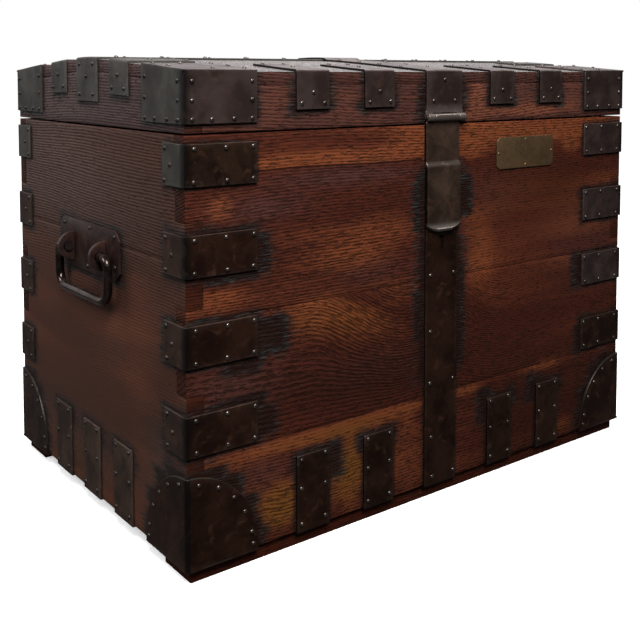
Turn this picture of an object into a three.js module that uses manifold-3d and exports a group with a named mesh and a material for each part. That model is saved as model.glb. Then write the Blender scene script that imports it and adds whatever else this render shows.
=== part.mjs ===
// A silver chest: an iron-bound oak carcase with a cambered lid, a hinged hasp over its lock
// and a drop handle on each end.
// Sizes are in millimetres. X runs to the right, Y from the front to the back, Z up.
import * as THREE from "three";
import { mergeVertices } from "three/addons/utils/BufferGeometryUtils.js";
import Module from "manifold-3d";

const wasm = await Module();
wasm.setup();

// Gaps between pieces
const fit = 0.3;
const lidGap = 0.8;
const knuckleGap = 0.5;

// How far a cut runs on past the face it opens
const cutOverrun = 1;

// Oak carcase
const carcaseWidth = 780;
const carcaseDepth = 502;
const carcaseHeight = 484;
const wallThickness = 22;
const bottomThickness = 16;
const fingerCount = 5;

// Skids under the carcase
const skidHeight = 18.5;
const skidWidth = 60;
const skidSetback = 4.5;
const skidEndInset = 6;

// Oak lid
const lidSideHeight = 68;
const lidBoardThickness = 15.5;
const crownRise = 16.5;
const crownSoftness = 60;
const camberStep = 21;

// Baize lining
const liningThickness = 2.5;
const liningBelowRim = 2;

// Iron straps that bind the edges
const strapThickness = 2.5;
const edgeStrapWidth = 49;
const footStrapHeight = 93;
const strapReturn = 30;
const seatDepth = 1;
const lidStrapLength = 90;
const lidStrapMargin = 23.5;
const lidEndStrapMargin = 35.5;

// Ridge strap along the crown and centre strap across it
const ridgeWidth = 61;
const ridgeMargin = 27.5;
const centreStrapWidth = 66;
const crossingRamp = 9;

// Corner straps of the carcase, four to a corner
const cornerStrapCount = 4;
const cornerStrapHeight = 47.5;
const cornerLongLeg = 92.5;
const cornerShortLeg = 46.5;
const cornerTopMargin = 10;
const cornerFootMargin = 22;

// Quarter-round foot brackets and lid corner caps
const footFrontReach = 92.5;
const footSideReach = 95;
const footHeight = 104;
const footSteps = 12;
const capFrontReach = 93;
const capSideReach = 95;
const capMargin = 10.5;

// Strap hinges at the back
const hingeRadius = 5.5;
const hingePinRadius = 2.6;
const hingeLeafLength = 120;
const hingePinHead = 1.5;
const roundSides = 16;

// Hasp, its pin and its staple
const claspOffset = -4;
const haspBarrelRadius = 5;
const haspBarrelWidth = 68;
const haspKnuckleWidth = 44;
const haspPinRadius = 2.2;
const haspPinAboveLidEdge = 8.2;
const haspWidth = 61;
const haspThickness = 4;
const haspLength = 152;
const haspStepDrop = 59;
const haspStepHeight = 6;
const haspClearance = 0.6;
const lipBend = 8;
const lipAngle = 55;
const lipTangent = 4;
const lipSteps = 5;
const lipRound = 11;
const stapleDrop = 130;
const stapleThickness = 6;
const stapleHeight = 20;
const stapleEyeHeight = 11;
const stapleEyeDepth = 7;
const stapleTip = 2.5;

// Lock behind the strap below the hasp
const lockStrapWidth = 58;
const lockStrapUnderHasp = 4;
const lockSetback = 8;
const lockCaseWidth = 96;
const lockCaseMargin = 14;
const boltWidth = 5;
const boltHeight = 8;
const boltLength = 35;
const boltThrow = 12;
const boltRetracted = 2;
const slotClearance = 1;
const keyholeHeight = 16;
const keyholeRadius = 3.4;
const keyholeSlot = 4.8;
const keyholeBelowHasp = 5;
const keyPitDepth = 9;

// Brass name plate
const namePlateWidth = 121;
const namePlateHeight = 44.5;
const namePlateThickness = 1.5;
const namePlateClip = 5;
const namePlateBelowRim = 45.5;

// Drop handles on the ends
const handlePlateWidth = 185;
const handlePlateHeight = 64;
const handlePlateClip = 12;
const handlePlateThickness = 2.5;
const handlePlateAbovePivot = 4;
const handlePivotHeight = 321.5;
const handlePivotStandoff = 11;
const lugSpacing = 98;
const lugThickness = 6;
const lugHeight = 38;
const lugReach = 24;
const bailBarRadius = 6;
const bailWidth = 153;
const bailDrop = 55.5;
const bailTopBend = 14;
const bailBottomBend = 18;
const bailPinOverrun = 3;
const bailSides = 10;
const bailBendSteps = 5;
const bailHoleClearance = 0.6;

// Derived sizes
const halfWidth = carcaseWidth / 2;
const ridgeLine = carcaseDepth / 2;
const ironFace = fit + strapThickness;
const lidBottom = carcaseHeight + lidGap;
const lidEdge = lidBottom + lidSideHeight;
const railTop = lidEdge - lidBoardThickness - fit;
const innerX = halfWidth - wallThickness - fit;
const innerFront = wallThickness + fit;
const innerBack = carcaseDepth - wallThickness - fit;

const oak = new THREE.MeshStandardMaterial({ color: 0x4a2416, roughness: 0.55, metalness: 0 });
const oakLid = new THREE.MeshStandardMaterial({ color: 0x452619, roughness: 0.5, metalness: 0 });
const iron = new THREE.MeshStandardMaterial({ color: 0x2a2322, roughness: 0.5, metalness: 0.8 });
const brass = new THREE.MeshStandardMaterial({ color: 0x5a4a2c, roughness: 0.45, metalness: 0.9 });
const baize = new THREE.MeshStandardMaterial({ color: 0x1f4a30, roughness: 1, metalness: 0 });
for (const finish of [oak, oakLid, iron, brass, baize]) finish.flatShading = true;

// Turns a closed geometry into a solid that can be joined and cut.
function solidFrom(geometry) {
  const bare = geometry.index ? geometry.toNonIndexed() : geometry.clone();
  bare.deleteAttribute("normal");
  bare.deleteAttribute("uv");
  const merged = mergeVertices(bare, 1e-4);
  const mesh = new wasm.Mesh({
    numProp: 3,
    vertProperties: new Float32Array(merged.attributes.position.array),
    triVerts: new Uint32Array(merged.index.array),
  });
  return new wasm.Manifold(mesh);
}

// A box between two corners.
function block([x0, x1], [y0, y1], [z0, z1]) {
  const geometry = new THREE.BoxGeometry(x1 - x0, y1 - y0, z1 - z0);
  geometry.translate((x0 + x1) / 2, (y0 + y1) / 2, (z0 + z1) / 2);
  return solidFrom(geometry);
}

// The frames of profiles that are drawn in (Y, Z), (X, Z) or (X, Y) and run along the third axis.
const along = {
  x: new THREE.Matrix4().set(0, 0, 1, 0, 1, 0, 0, 0, 0, 1, 0, 0, 0, 0, 0, 1),
  y: new THREE.Matrix4().set(1, 0, 0, 0, 0, 0, -1, 0, 0, 1, 0, 0, 0, 0, 0, 1),
  z: new THREE.Matrix4(),
};

// Runs a flat shape along an axis between two places.
function run(shape, axis, [from, to]) {
  const outline = Array.isArray(shape) ? new THREE.Shape(shape.map(([a, b]) => new THREE.Vector2(a, b))) : shape;
  const geometry = new THREE.ExtrudeGeometry(outline, {
    depth: to - from,
    bevelEnabled: false,
    curveSegments: footSteps,
  });
  geometry.translate(0, 0, axis === "y" ? -to : from);
  geometry.applyMatrix4(along[axis]);
  return solidFrom(geometry);
}

// A round bar along an axis through a point given in the other two directions.
function roundBar(axis, radius, [a, b], ends) {
  const shape = new THREE.Shape();
  for (let i = 0; i < roundSides; i++) {
    const turn = (2 * Math.PI * (i + 0.5)) / roundSides;
    const point = [a + radius * Math.cos(turn), b + radius * Math.sin(turn)];
    if (i === 0) shape.moveTo(...point);
    else shape.lineTo(...point);
  }
  shape.closePath();
  return run(shape, axis, ends);
}

const joined = (solids) => solids.reduce((whole, next) => whole.add(next));
const cut = (solid, tools) => tools.reduce((rest, tool) => rest.subtract(tool), solid);
const spread = (centre, width) => [centre - width / 2, centre + width / 2];

// Makes a mesh of a solid that was drawn in the carcase's frame, inside a group that has its own pivot.
function addPiece(group, name, solid, material) {
  const made = solid.getMesh();
  const geometry = new THREE.BufferGeometry();
  geometry.setAttribute("position", new THREE.BufferAttribute(new Float32Array(made.vertProperties), 3));
  geometry.setIndex(new THREE.BufferAttribute(new Uint32Array(made.triVerts), 1));
  const { x, y, z } = group.userData.pivot;
  geometry.translate(-x, -y, -z);
  const mesh = new THREE.Mesh(geometry, material);
  mesh.name = name;
  group.add(mesh);
  return mesh;
}

// A group that turns about a pivot given in the carcase's frame.
function pivotGroup(name, pivot, parent) {
  const group = new THREE.Group();
  group.name = name;
  group.userData.pivot = pivot;
  if (parent) {
    group.position.copy(pivot).sub(parent.userData.pivot);
    parent.add(group);
  }
  return group;
}

// Height of the lid's outer face at a distance from the front: straight slopes with a soft crown between.
function camber(y) {
  const rounded = (v) => Math.hypot(v, crownSoftness) - crownSoftness;
  return lidEdge + crownRise * (1 - rounded(y - ridgeLine) / rounded(ridgeLine));
}

// A closed outline between two curves over a stretch of Y.
function between([from, to], under, over) {
  const count = Math.max(2, Math.ceil((to - from) / camberStep));
  const places = Array.from({ length: count + 1 }, (_, i) => from + ((to - from) * i) / count);
  const lower = places.map((y) => [y, under(y)]);
  const upper = places.reverse().map((y) => [y, over(y)]);
  return [...lower, ...upper];
}

// Centres of a row of straps set evenly between a middle strap and the corner iron.
function evenCentres(half, cornerReach, middleWidth, strapWidth, count) {
  const room = half - cornerReach - middleWidth / 2 - count * strapWidth;
  const space = room / (count + 1);
  const first = middleWidth / 2 + space + strapWidth / 2;
  return Array.from({ length: count }, (_, i) => first + i * (strapWidth + space));
}

const bothSides = (distances) => distances.flatMap((d) => [-d, d]);
const frontCentres = bothSides(evenCentres(halfWidth, cornerLongLeg, centreStrapWidth, edgeStrapWidth, 2));
const endCentres = bothSides(evenCentres(ridgeLine, footSideReach, ridgeWidth, edgeStrapWidth, 1));
const [innerStraps, outerStraps] = [frontCentres.slice(0, 2), frontCentres.slice(2)];

// Wood of the carcase

// The slots at the ends of a panel that let the fingers of its neighbour through.
function fingerSlots(first, cutter) {
  const pitch = carcaseHeight / fingerCount;
  const slots = [];
  for (let i = first; i < fingerCount; i += 2) {
    const low = i === 0 ? -fit : i * pitch - fit / 2;
    const high = i === fingerCount - 1 ? carcaseHeight + fit : (i + 1) * pitch + fit / 2;
    slots.push(...cutter([low, high]));
  }
  return slots;
}

// A bottom-edge strap's outline, let into the wood it is fused with: distance in from the face, height.
function footStrapOutline(inward) {
  const wood = wallThickness - seatDepth;
  const outline = [
    [-strapThickness, footStrapHeight],
    [seatDepth, footStrapHeight],
    [seatDepth, seatDepth],
    [wood, seatDepth],
    [wood, 0],
    [strapReturn, 0],
    [strapReturn, -strapThickness],
    [-strapThickness, -strapThickness],
  ];
  return outline.map(([depth, height]) => [inward(depth), height]);
}

// The front or back panel with its finger slots and the foot straps that bind its lower edge.
function longPanel(inward, strapCentres) {
  const faces = [inward(0), inward(wallThickness)].sort((a, b) => a - b);
  const board = block([-halfWidth, halfWidth], faces, [0, carcaseHeight]);
  const through = [faces[0] - fit, faces[1] + fit];
  const slots = fingerSlots(1, (heights) => [
    block([-halfWidth - fit, -halfWidth + wallThickness + fit], through, heights),
    block([halfWidth - wallThickness - fit, halfWidth + fit], through, heights),
  ]);
  const straps = strapCentres.map((x) => run(footStrapOutline(inward), "x", spread(x, edgeStrapWidth)));
  return joined([cut(board, slots), ...straps]);
}

// An end panel; its fingers pass through the slots of the front and back panels.
function endPanel(inward) {
  const faces = [inward(0), inward(wallThickness)].sort((a, b) => a - b);
  const board = block(faces, [0, carcaseDepth], [0, carcaseHeight]);
  const through = [faces[0] - fit, faces[1] + fit];
  const slots = fingerSlots(0, (heights) => [
    block(through, [-fit, wallThickness + fit], heights),
    block(through, [carcaseDepth - wallThickness - fit, carcaseDepth + fit], heights),
  ]);
  const centres = [0, ...endCentres].map((y) => ridgeLine + y);
  const straps = centres.map((y) => run(footStrapOutline(inward), "y", spread(y, edgeStrapWidth)));
  return joined([cut(board, slots), ...straps]);
}

function bottomBoard() {
  return block([-innerX, innerX], [innerFront, innerBack], [fit, bottomThickness]);
}

// A batten under the carcase, housed over the iron that returns under the edges.
function skid(inward) {
  const sides = [inward(skidSetback), inward(skidSetback + skidWidth)].sort((a, b) => a - b);
  const ends = halfWidth - skidEndInset;
  const batten = block([-ends, ends], sides, [-skidHeight, -fit]);
  const housing = [-ironFace - fit, 0];
  const underStrap = [inward(-fit), inward(strapReturn + fit)].sort((a, b) => a - b);
  const underFoot = [inward(-fit), inward(footSideReach + fit)].sort((a, b) => a - b);
  const strapHousings = [claspOffset, ...frontCentres].map((x) =>
    block(spread(x, Math.max(edgeStrapWidth, lockStrapWidth) + 2 * fit), underStrap, housing),
  );
  const footHousings = [
    block([-halfWidth - fit, footFrontReach + fit - halfWidth], underFoot, housing),
    block([halfWidth - footFrontReach - fit, halfWidth + fit], underFoot, housing),
  ];
  return cut(batten, [...strapHousings, ...footHousings]);
}

function chestLining() {
  const top = carcaseHeight - liningBelowRim;
  const floor = bottomThickness + fit;
  const outside = block([-innerX, innerX], [innerFront, innerBack], [floor, top]);
  const t = liningThickness;
  const inside = block([t - innerX, innerX - t], [innerFront + t, innerBack - t], [floor + t, top + cutOverrun]);
  return outside.subtract(inside);
}

// Wood of the lid

// A strap folded over the lid's long edge, fused with the rail: distance in from the face, height.
function lidEdgeStrap(inward, x) {
  const inner = between([0, lidStrapLength], (y) => camber(y) + fit, (y) => camber(y) + ironFace);
  const leg = [
    [-strapThickness, camber(-strapThickness) + ironFace],
    [-strapThickness, lidBottom + lidStrapMargin],
    [seatDepth, lidBottom + lidStrapMargin],
    [seatDepth, railTop - seatDepth],
    [0, railTop - seatDepth],
  ];
  const outline = [...leg, ...inner].map(([depth, height]) => [inward(depth), height]);
  return run(outline, "x", spread(x, edgeStrapWidth));
}

// A long rail of the lid, let in between the ends.
function lidLongRail(inward, strapCentres) {
  const faces = [inward(0), inward(wallThickness)].sort((a, b) => a - b);
  const rail = block([-innerX, innerX], faces, [lidBottom, railTop]);
  return joined([rail, ...strapCentres.map((x) => lidEdgeStrap(inward, x))]);
}

// A strap folded over the lid's end: the leg down the end and the stretch along the top.
function lidEndStrap(side, centre, width, bottom, stand, reach) {
  const ys = spread(centre, width);
  const ends = (from, to) => [side * from, side * to].sort((a, b) => a - b);
  const face = halfWidth + stand;
  const leg = run(between(ys, () => bottom, (y) => camber(y) + ironFace), "x", ends(face, face + strapThickness));
  const top = run(
    between(ys, (y) => camber(y) + fit, (y) => camber(y) + ironFace),
    "x",
    ends(halfWidth - reach, face + strapThickness),
  );
  return leg.add(top);
}

// An arched end rail over the lid's whole depth, with the two plain end straps that it carries.
function lidEndRail(side) {
  const ends = (from, to) => [side * from, side * to].sort((a, b) => a - b);
  const arch = between([0, carcaseDepth], () => lidBottom, (y) => camber(y) - lidBoardThickness - fit);
  const rail = run(arch, "x", ends(halfWidth - wallThickness, halfWidth));
  const bottom = lidBottom + lidEndStrapMargin;
  const straps = endCentres.flatMap((y) => [
    lidEndStrap(side, ridgeLine + y, edgeStrapWidth, bottom, 0, lidStrapLength),
    block(ends(halfWidth - seatDepth, halfWidth + seatDepth), spread(ridgeLine + y, edgeStrapWidth), [
      bottom,
      railTop - seatDepth,
    ]),
  ]);
  return joined([rail, ...straps]);
}

function lidTop() {
  const profile = between([fit, carcaseDepth - fit], (y) => camber(y) - lidBoardThickness, camber);
  return run(profile, "x", [fit - halfWidth, halfWidth - fit]);
}

function lidLining() {
  const ceiling = (y) => camber(y) - lidBoardThickness - fit;
  const t = liningThickness;
  const floor = lidBottom + liningBelowRim;
  const outside = run(between([innerFront, innerBack], () => floor, ceiling), "x", [-innerX, innerX]);
  const hollow = between([innerFront + t, innerBack - t], () => floor - cutOverrun, (y) => ceiling(y) - t);
  return outside.subtract(run(hollow, "x", [t - innerX, innerX - t]));
}

// Ironwork of the carcase

// A strap bent round a corner, drawn with the corner at the origin.
function cornerStrap() {
  const outline = [
    [-ironFace, -ironFace],
    [cornerLongLeg, -ironFace],
    [cornerLongLeg, -fit],
    [-fit, -fit],
    [-fit, cornerShortLeg],
    [-ironFace, cornerShortLeg],
  ];
  return run(outline, "z", spread(0, cornerStrapHeight));
}

// A quarter-round plate with its square corner run on over the fold.
function quarterRound(reachA, reachB) {
  const shape = new THREE.Shape();
  shape.moveTo(-ironFace, -ironFace);
  shape.lineTo(reachA, -ironFace);
  shape.lineTo(reachA, 0);
  shape.absellipse(0, 0, reachA, reachB, 0, Math.PI / 2, false, 0);
  shape.lineTo(-ironFace, reachB);
  shape.closePath();
  return shape;
}

// A foot bracket of three quarter-round plates, drawn with the carcase's bottom corner at the origin.
function footBracket() {
  const plate = [-ironFace, -fit];
  return joined([
    run(quarterRound(footFrontReach, footHeight), "y", plate),
    run(quarterRound(footSideReach, footHeight), "x", plate),
    run(quarterRound(footFrontReach, footSideReach), "z", plate),
  ]);
}

// A corner cap of the lid: two legs and a top plate that follows the camber, drawn at the lid's corner.
function lidCap() {
  const bottom = lidBottom + capMargin;
  const under = (y) => camber(y) + fit;
  const over = (y) => camber(y) + ironFace;
  return joined([
    run(between([-ironFace, -fit], () => bottom, over), "x", [-ironFace, capFrontReach]),
    run(between([-ironFace, capSideReach], () => bottom, over), "x", [-ironFace, -fit]),
    run(between([-ironFace, capSideReach], under, over), "x", [-ironFace, capFrontReach]),
  ]);
}

// Sets a copy of a corner piece at each of the four corners, turned over by mirroring.
function atCorners(group, name, solid, height, corners) {
  for (const [label, sideX, sideY] of corners) {
    const mesh = addPiece(group, `${name}_${label}`, solid, iron);
    mesh.geometry.translate(group.userData.pivot.x, group.userData.pivot.y, group.userData.pivot.z);
    mesh.scale.set(-sideX, -sideY, 1);
    const corner = new THREE.Vector3(sideX * halfWidth, sideY < 0 ? 0 : carcaseDepth, height);
    mesh.position.copy(corner).sub(group.userData.pivot);
  }
}

const fourCorners = [
  ["front_left", -1, -1],
  ["front_right", 1, -1],
  ["back_left", -1, 1],
  ["back_right", 1, 1],
];

// Hinges at the back

const hingeAxis = { y: carcaseDepth + fit + hingeRadius, z: carcaseHeight + lidGap / 2 };
const knucklePitch = edgeStrapWidth / 3;

// Knuckles and the tabs that join them to a leaf; slots are thirds of the leaf's width.
function knuckles(x, thirds, [tabLow, tabHigh]) {
  const left = x - edgeStrapWidth / 2;
  const solids = thirds.flatMap((third) => {
    const ends = [left + third * knucklePitch + fit / 2, left + (third + 1) * knucklePitch - fit / 2];
    const leaf = [carcaseDepth + fit, carcaseDepth + ironFace];
    return [
      roundBar("x", hingeRadius, [hingeAxis.y, hingeAxis.z], ends),
      block(ends, leaf, [hingeAxis.z + tabLow, hingeAxis.z + tabHigh]),
    ];
  });
  return joined(solids);
}

function pinHole(x) {
  return roundBar("x", hingePinRadius + fit, [hingeAxis.y, hingeAxis.z], spread(x, edgeStrapWidth * 2));
}

// The leaf on the lid: down the back rail from the top, ending in the two outer knuckles.
function hingeLidLeaf(x) {
  const clear = hingeRadius + knuckleGap;
  const top = between([-fit, lidStrapLength], (y) => camber(y) + fit, (y) => camber(y) + ironFace);
  const leg = [
    [-ironFace, camber(-ironFace) + ironFace],
    [-ironFace, hingeAxis.z + clear],
    [-fit, hingeAxis.z + clear],
  ];
  const outline = [...leg, ...top].map(([depth, height]) => [carcaseDepth - depth, height]);
  const leaf = run(outline, "x", spread(x, edgeStrapWidth));
  return leaf.add(knuckles(x, [0, 2], [0, clear + seatDepth])).subtract(pinHole(x));
}

// The leaf on the carcase with the middle knuckle.
function hingeBodyLeaf(x) {
  const clear = hingeRadius + knuckleGap;
  const low = hingeAxis.z - hingeLeafLength;
  const leaf = block(
    spread(x, edgeStrapWidth),
    [carcaseDepth + fit, carcaseDepth + ironFace],
    [low, hingeAxis.z - clear],
  );
  return leaf.add(knuckles(x, [1], [-clear - seatDepth, 0])).subtract(pinHole(x));
}

function hingePin(x) {
  return roundBar("x", hingePinRadius, [hingeAxis.y, hingeAxis.z], spread(x, edgeStrapWidth + 2 * hingePinHead));
}

// Hasp, lock and name plate

const haspAxis = { y: -fit - haspBarrelRadius, z: lidBottom + haspPinAboveLidEdge };
const haspTop = haspAxis.z - haspBarrelRadius - knuckleGap;
const haspStand = ironFace + haspClearance;
const lipTop = haspAxis.z - haspLength + lipRound;
const stapleCentre = haspAxis.z - stapleDrop;
const lockFront = lockSetback + fit;
const eyeFront = lockFront + slotClearance + fit;
const stapleReach = eyeFront + stapleEyeDepth + stapleTip;
const boltCentre = eyeFront + stapleEyeDepth / 2;
const keyholeTop = haspAxis.z - haspLength - keyholeBelowHasp;

// How far the strap across the lid lifts to pass over the ridge strap.
function crossingLift(y) {
  const clear = ridgeWidth / 2 + fit;
  const away = Math.abs(y - ridgeLine) - clear;
  const share = THREE.MathUtils.clamp(1 - away / crossingRamp, 0, 1);
  return ironFace * THREE.MathUtils.smoothstep(share, 0, 1);
}

// The strap across the lid from the hasp's knuckles to the back rail.
function lidCentreStrap() {
  const start = haspAxis.z + haspBarrelRadius + knuckleGap;
  const end = lidBottom + lidStrapMargin;
  const rise = ridgeLine - ridgeWidth / 2 - crossingRamp - fit;
  const ramp = [0, 1, 2, 3].map((i) => rise + (crossingRamp * i) / 3);
  const plain = between([-fit, rise - camberStep / 2], () => 0, () => 0);
  const firstHalf = [...plain.slice(0, plain.length / 2).map(([y]) => y), ...ramp];
  const places = [...firstHalf, ridgeLine, ...[...firstHalf].reverse().map((y) => carcaseDepth - y)];
  const outer = places.map((y) => [y, camber(y) + ironFace + crossingLift(y)]).reverse();
  const inner = places.map((y) => [y, camber(y) + fit + crossingLift(y)]);
  const outline = [
    [-ironFace, start],
    [-fit, start],
    ...inner,
    [carcaseDepth + fit, end],
    [carcaseDepth + ironFace, end],
    [carcaseDepth + ironFace, camber(-ironFace) + ironFace],
    ...outer,
    [-ironFace, camber(-ironFace) + ironFace],
  ];
  const strap = run(outline, "x", spread(0, centreStrapWidth));
  const outerKnuckles = [-1, 1].flatMap((side) => {
    const ends = [side * (haspKnuckleWidth / 2 + fit), (side * haspBarrelWidth) / 2].sort((a, b) => a - b);
    return [
      roundBar("x", haspBarrelRadius, [haspAxis.y, haspAxis.z], ends),
      block(ends, [-ironFace, -fit], [haspAxis.z, start + seatDepth]),
    ];
  });
  return joined([strap, ...outerKnuckles]).subtract(haspPinHole());
}

function haspPinHole() {
  return roundBar("x", haspPinRadius + fit, [haspAxis.y, haspAxis.z], spread(0, haspBarrelWidth * 2));
}

function haspPin() {
  return roundBar("x", haspPinRadius, [haspAxis.y, haspAxis.z], spread(0, haspBarrelWidth + 2 * hingePinHead));
}

// The hasp from the side: flat on the wood, stepped out over the lock strap, with a thumb lip.
function haspOutline() {
  const stepTop = haspAxis.z - haspStepDrop;
  const stepBottom = stepTop - haspStepHeight;
  const bendCentre = -haspStand - haspThickness - lipBend;
  const last = THREE.MathUtils.degToRad(lipAngle);
  const arc = (radius) =>
    Array.from({ length: lipSteps + 1 }, (_, i) => {
      const turn = (last * i) / lipSteps;
      return [bendCentre + radius * Math.cos(turn), lipTop - radius * Math.sin(turn)];
    });
  const onward = ([y, z]) => [y - lipTangent * Math.sin(last), z - lipTangent * Math.cos(last)];
  const back = arc(lipBend + haspThickness);
  const face = arc(lipBend);
  return [
    [-fit, haspTop],
    [-fit, stepTop],
    [-haspStand, stepBottom],
    ...back,
    onward(back.at(-1)),
    onward(face.at(-1)),
    ...face.reverse(),
    [-haspStand - haspThickness, stepBottom],
    [-fit - haspThickness, stepTop],
    [-fit - haspThickness, haspTop],
  ];
}

// The hasp seen from the front: straight sides and a rounded end.
function haspFrontShape() {
  const half = haspWidth / 2;
  const shape = new THREE.Shape();
  shape.moveTo(-half, haspTop + cutOverrun);
  shape.lineTo(-half, lipTop);
  shape.absellipse(0, lipTop, half, lipRound, Math.PI, 2 * Math.PI, false, 0);
  shape.lineTo(half, haspTop + cutOverrun);
  shape.closePath();
  return shape;
}

function hasp() {
  const strip = run(haspOutline(), "x", spread(0, haspWidth));
  const trimmed = strip.intersect(run(haspFrontShape(), "y", [-1.5 * haspLength, haspLength]));
  const placed = trimmed.translate([claspOffset, 0, 0]);
  const ends = spread(0, haspKnuckleWidth);
  const knuckle = roundBar("x", haspBarrelRadius, [haspAxis.y, haspAxis.z], ends);
  const tab = block(ends, [-fit - haspThickness, -fit], [haspTop - seatDepth, haspAxis.z]);
  return joined([placed, knuckle, tab]).subtract(haspPinHole());
}

// The staple on the back of the hasp: a tongue with an eye for the bolt.
function haspStaple() {
  const half = stapleHeight / 2;
  const root = fit - haspStand;
  const shape = new THREE.Shape();
  shape.moveTo(root, stapleCentre - half);
  shape.lineTo(stapleReach - stapleTip, stapleCentre - half);
  shape.lineTo(stapleReach, stapleCentre - half + 2 * stapleTip);
  shape.lineTo(stapleReach, stapleCentre + half - 2 * stapleTip);
  shape.lineTo(stapleReach - stapleTip, stapleCentre + half);
  shape.lineTo(root, stapleCentre + half);
  shape.closePath();
  const eye = new THREE.Path();
  eye.moveTo(eyeFront, stapleCentre - stapleEyeHeight / 2);
  eye.lineTo(eyeFront + stapleEyeDepth, stapleCentre - stapleEyeHeight / 2);
  eye.lineTo(eyeFront + stapleEyeDepth, stapleCentre + stapleEyeHeight / 2);
  eye.lineTo(eyeFront, stapleCentre + stapleEyeHeight / 2);
  eye.closePath();
  shape.holes.push(eye);
  return run(shape, "x", spread(claspOffset, stapleThickness));
}

// The slot that the staple swings through: it dips by the drop of its tip's arc.
function stapleSlot(from, to) {
  const depth = stapleReach - haspAxis.y;
  const height = haspAxis.z - stapleCentre + stapleHeight / 2;
  const dip = Math.hypot(depth, height) - height;
  const low = stapleCentre - stapleHeight / 2 - dip - slotClearance;
  const high = stapleCentre + stapleHeight / 2 + slotClearance;
  return block(spread(claspOffset, stapleThickness + 2 * slotClearance), [from, to], [low, high]);
}

// A round-headed keyhole, cut along Y.
function keyhole(from, to) {
  const shape = new THREE.Shape();
  const centre = keyholeTop - keyholeRadius;
  const rest = Math.asin(keyholeSlot / 2 / keyholeRadius);
  shape.absarc(0, centre, keyholeRadius, rest - Math.PI / 2, 1.5 * Math.PI - rest, false);
  shape.lineTo(-keyholeSlot / 2, keyholeTop - keyholeHeight);
  shape.lineTo(keyholeSlot / 2, keyholeTop - keyholeHeight);
  shape.closePath();
  return run(shape, "y", [from, to]).translate([claspOffset, 0, 0]);
}

function lockStrap() {
  const top = haspAxis.z - haspStepDrop - haspStepHeight - lockStrapUnderHasp;
  const outline = [
    [-ironFace, top],
    [-fit, top],
    [-fit, -fit],
    [strapReturn, -fit],
    [strapReturn, -ironFace],
    [-ironFace, -ironFace],
  ];
  const strap = run(outline, "x", spread(claspOffset, lockStrapWidth));
  return cut(strap, [stapleSlot(-haspStand, cutOverrun), keyhole(-haspStand, cutOverrun)]);
}

const lockHeights = [
  keyholeTop - keyholeHeight - lockCaseMargin,
  stapleCentre + stapleHeight / 2 + lockCaseMargin,
];

function lockMortise() {
  return block(
    spread(claspOffset, lockCaseWidth + 2 * fit),
    [lockSetback, wallThickness + cutOverrun],
    [lockHeights[0] - fit, lockHeights[1] + fit],
  );
}

function boltSolid(clearance, travel) {
  const end = claspOffset - stapleThickness / 2 - boltRetracted;
  return block(
    [end - boltLength - clearance, end + travel + clearance],
    spread(boltCentre, boltWidth + 2 * clearance),
    spread(stapleCentre, boltHeight + 2 * clearance),
  );
}

function lockCase() {
  const box = block(spread(claspOffset, lockCaseWidth), [lockFront, wallThickness], lockHeights);
  return cut(box, [
    stapleSlot(0, stapleReach + slotClearance),
    keyhole(0, lockFront + keyPitDepth),
    boltSolid(fit, boltThrow),
  ]);
}

function frontPanel() {
  const panel = longPanel((d) => d, frontCentres);
  return cut(panel, [lockMortise(), stapleSlot(-cutOverrun, lockFront), keyhole(-cutOverrun, lockFront)]);
}

// A plate with clipped corners, drawn about a centre.
function clippedPlate([a, b], width, height, clip) {
  const [w, h] = [width / 2, height / 2];
  const quarter = [
    [w, clip - h],
    [w, h - clip],
    [w - clip, h],
  ];
  const half = [...quarter, [clip - w, h]];
  return [...half, ...half.map(([x, y]) => [-x, -y])].map(([x, y]) => [a + x, b + y]);
}

// The plate sits midway between the hasp and the corner strap.
function namePlate() {
  const x = (haspWidth / 2 + halfWidth - cornerLongLeg) / 2;
  const z = carcaseHeight - namePlateBelowRim;
  const outline = clippedPlate([x, z], namePlateWidth, namePlateHeight, namePlateClip);
  return run(outline, "y", [-fit - namePlateThickness, -fit]);
}

// Handles

// A handle plate with its two half-round lugs, drawn about the pivot with the wall towards +X.
function handlePlate() {
  const wall = handlePivotStandoff;
  const outline = clippedPlate([0, handlePlateAbovePivot], handlePlateWidth, handlePlateHeight, handlePlateClip);
  const face = wall - fit - handlePlateThickness;
  const plate = run(outline, "x", [face, wall - fit]);
  const lugs = [-1, 1].map((side) => {
    const shape = new THREE.Shape();
    const root = face + seatDepth;
    shape.moveTo(root, -lugHeight / 2);
    shape.lineTo(root, lugHeight / 2);
    shape.absellipse(face, 0, face - wall + lugReach, lugHeight / 2, Math.PI / 2, 1.5 * Math.PI, false, 0);
    shape.closePath();
    return run(shape, "y", spread((side * lugSpacing) / 2, lugThickness));
  });
  const hole = roundBar("y", bailBarRadius + bailHoleClearance, [0, 0], spread(0, lugSpacing * 2));
  return joined([plate, ...lugs.map((lug) => lug.subtract(hole))]);
}

// One half of the bail's centre line, from the pin end to the middle of the grip.
function bailHalf(side) {
  const arm = (side * bailWidth) / 2;
  const pin = side * (lugSpacing / 2 - lugThickness / 2 - bailPinOverrun);
  const at = (y, z) => new THREE.Vector3(0, y, z);
  return [
    new THREE.LineCurve3(at(pin, 0), at(arm - side * bailTopBend, 0)),
    new THREE.QuadraticBezierCurve3(at(arm - side * bailTopBend, 0), at(arm, 0), at(arm, -bailTopBend)),
    new THREE.LineCurve3(at(arm, -bailTopBend), at(arm, bailBottomBend - bailDrop)),
    new THREE.QuadraticBezierCurve3(
      at(arm, bailBottomBend - bailDrop),
      at(arm, -bailDrop),
      at(arm - side * bailBottomBend, -bailDrop),
    ),
    new THREE.LineCurve3(at(arm - side * bailBottomBend, -bailDrop), at(0, -bailDrop)),
  ];
}

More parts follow.
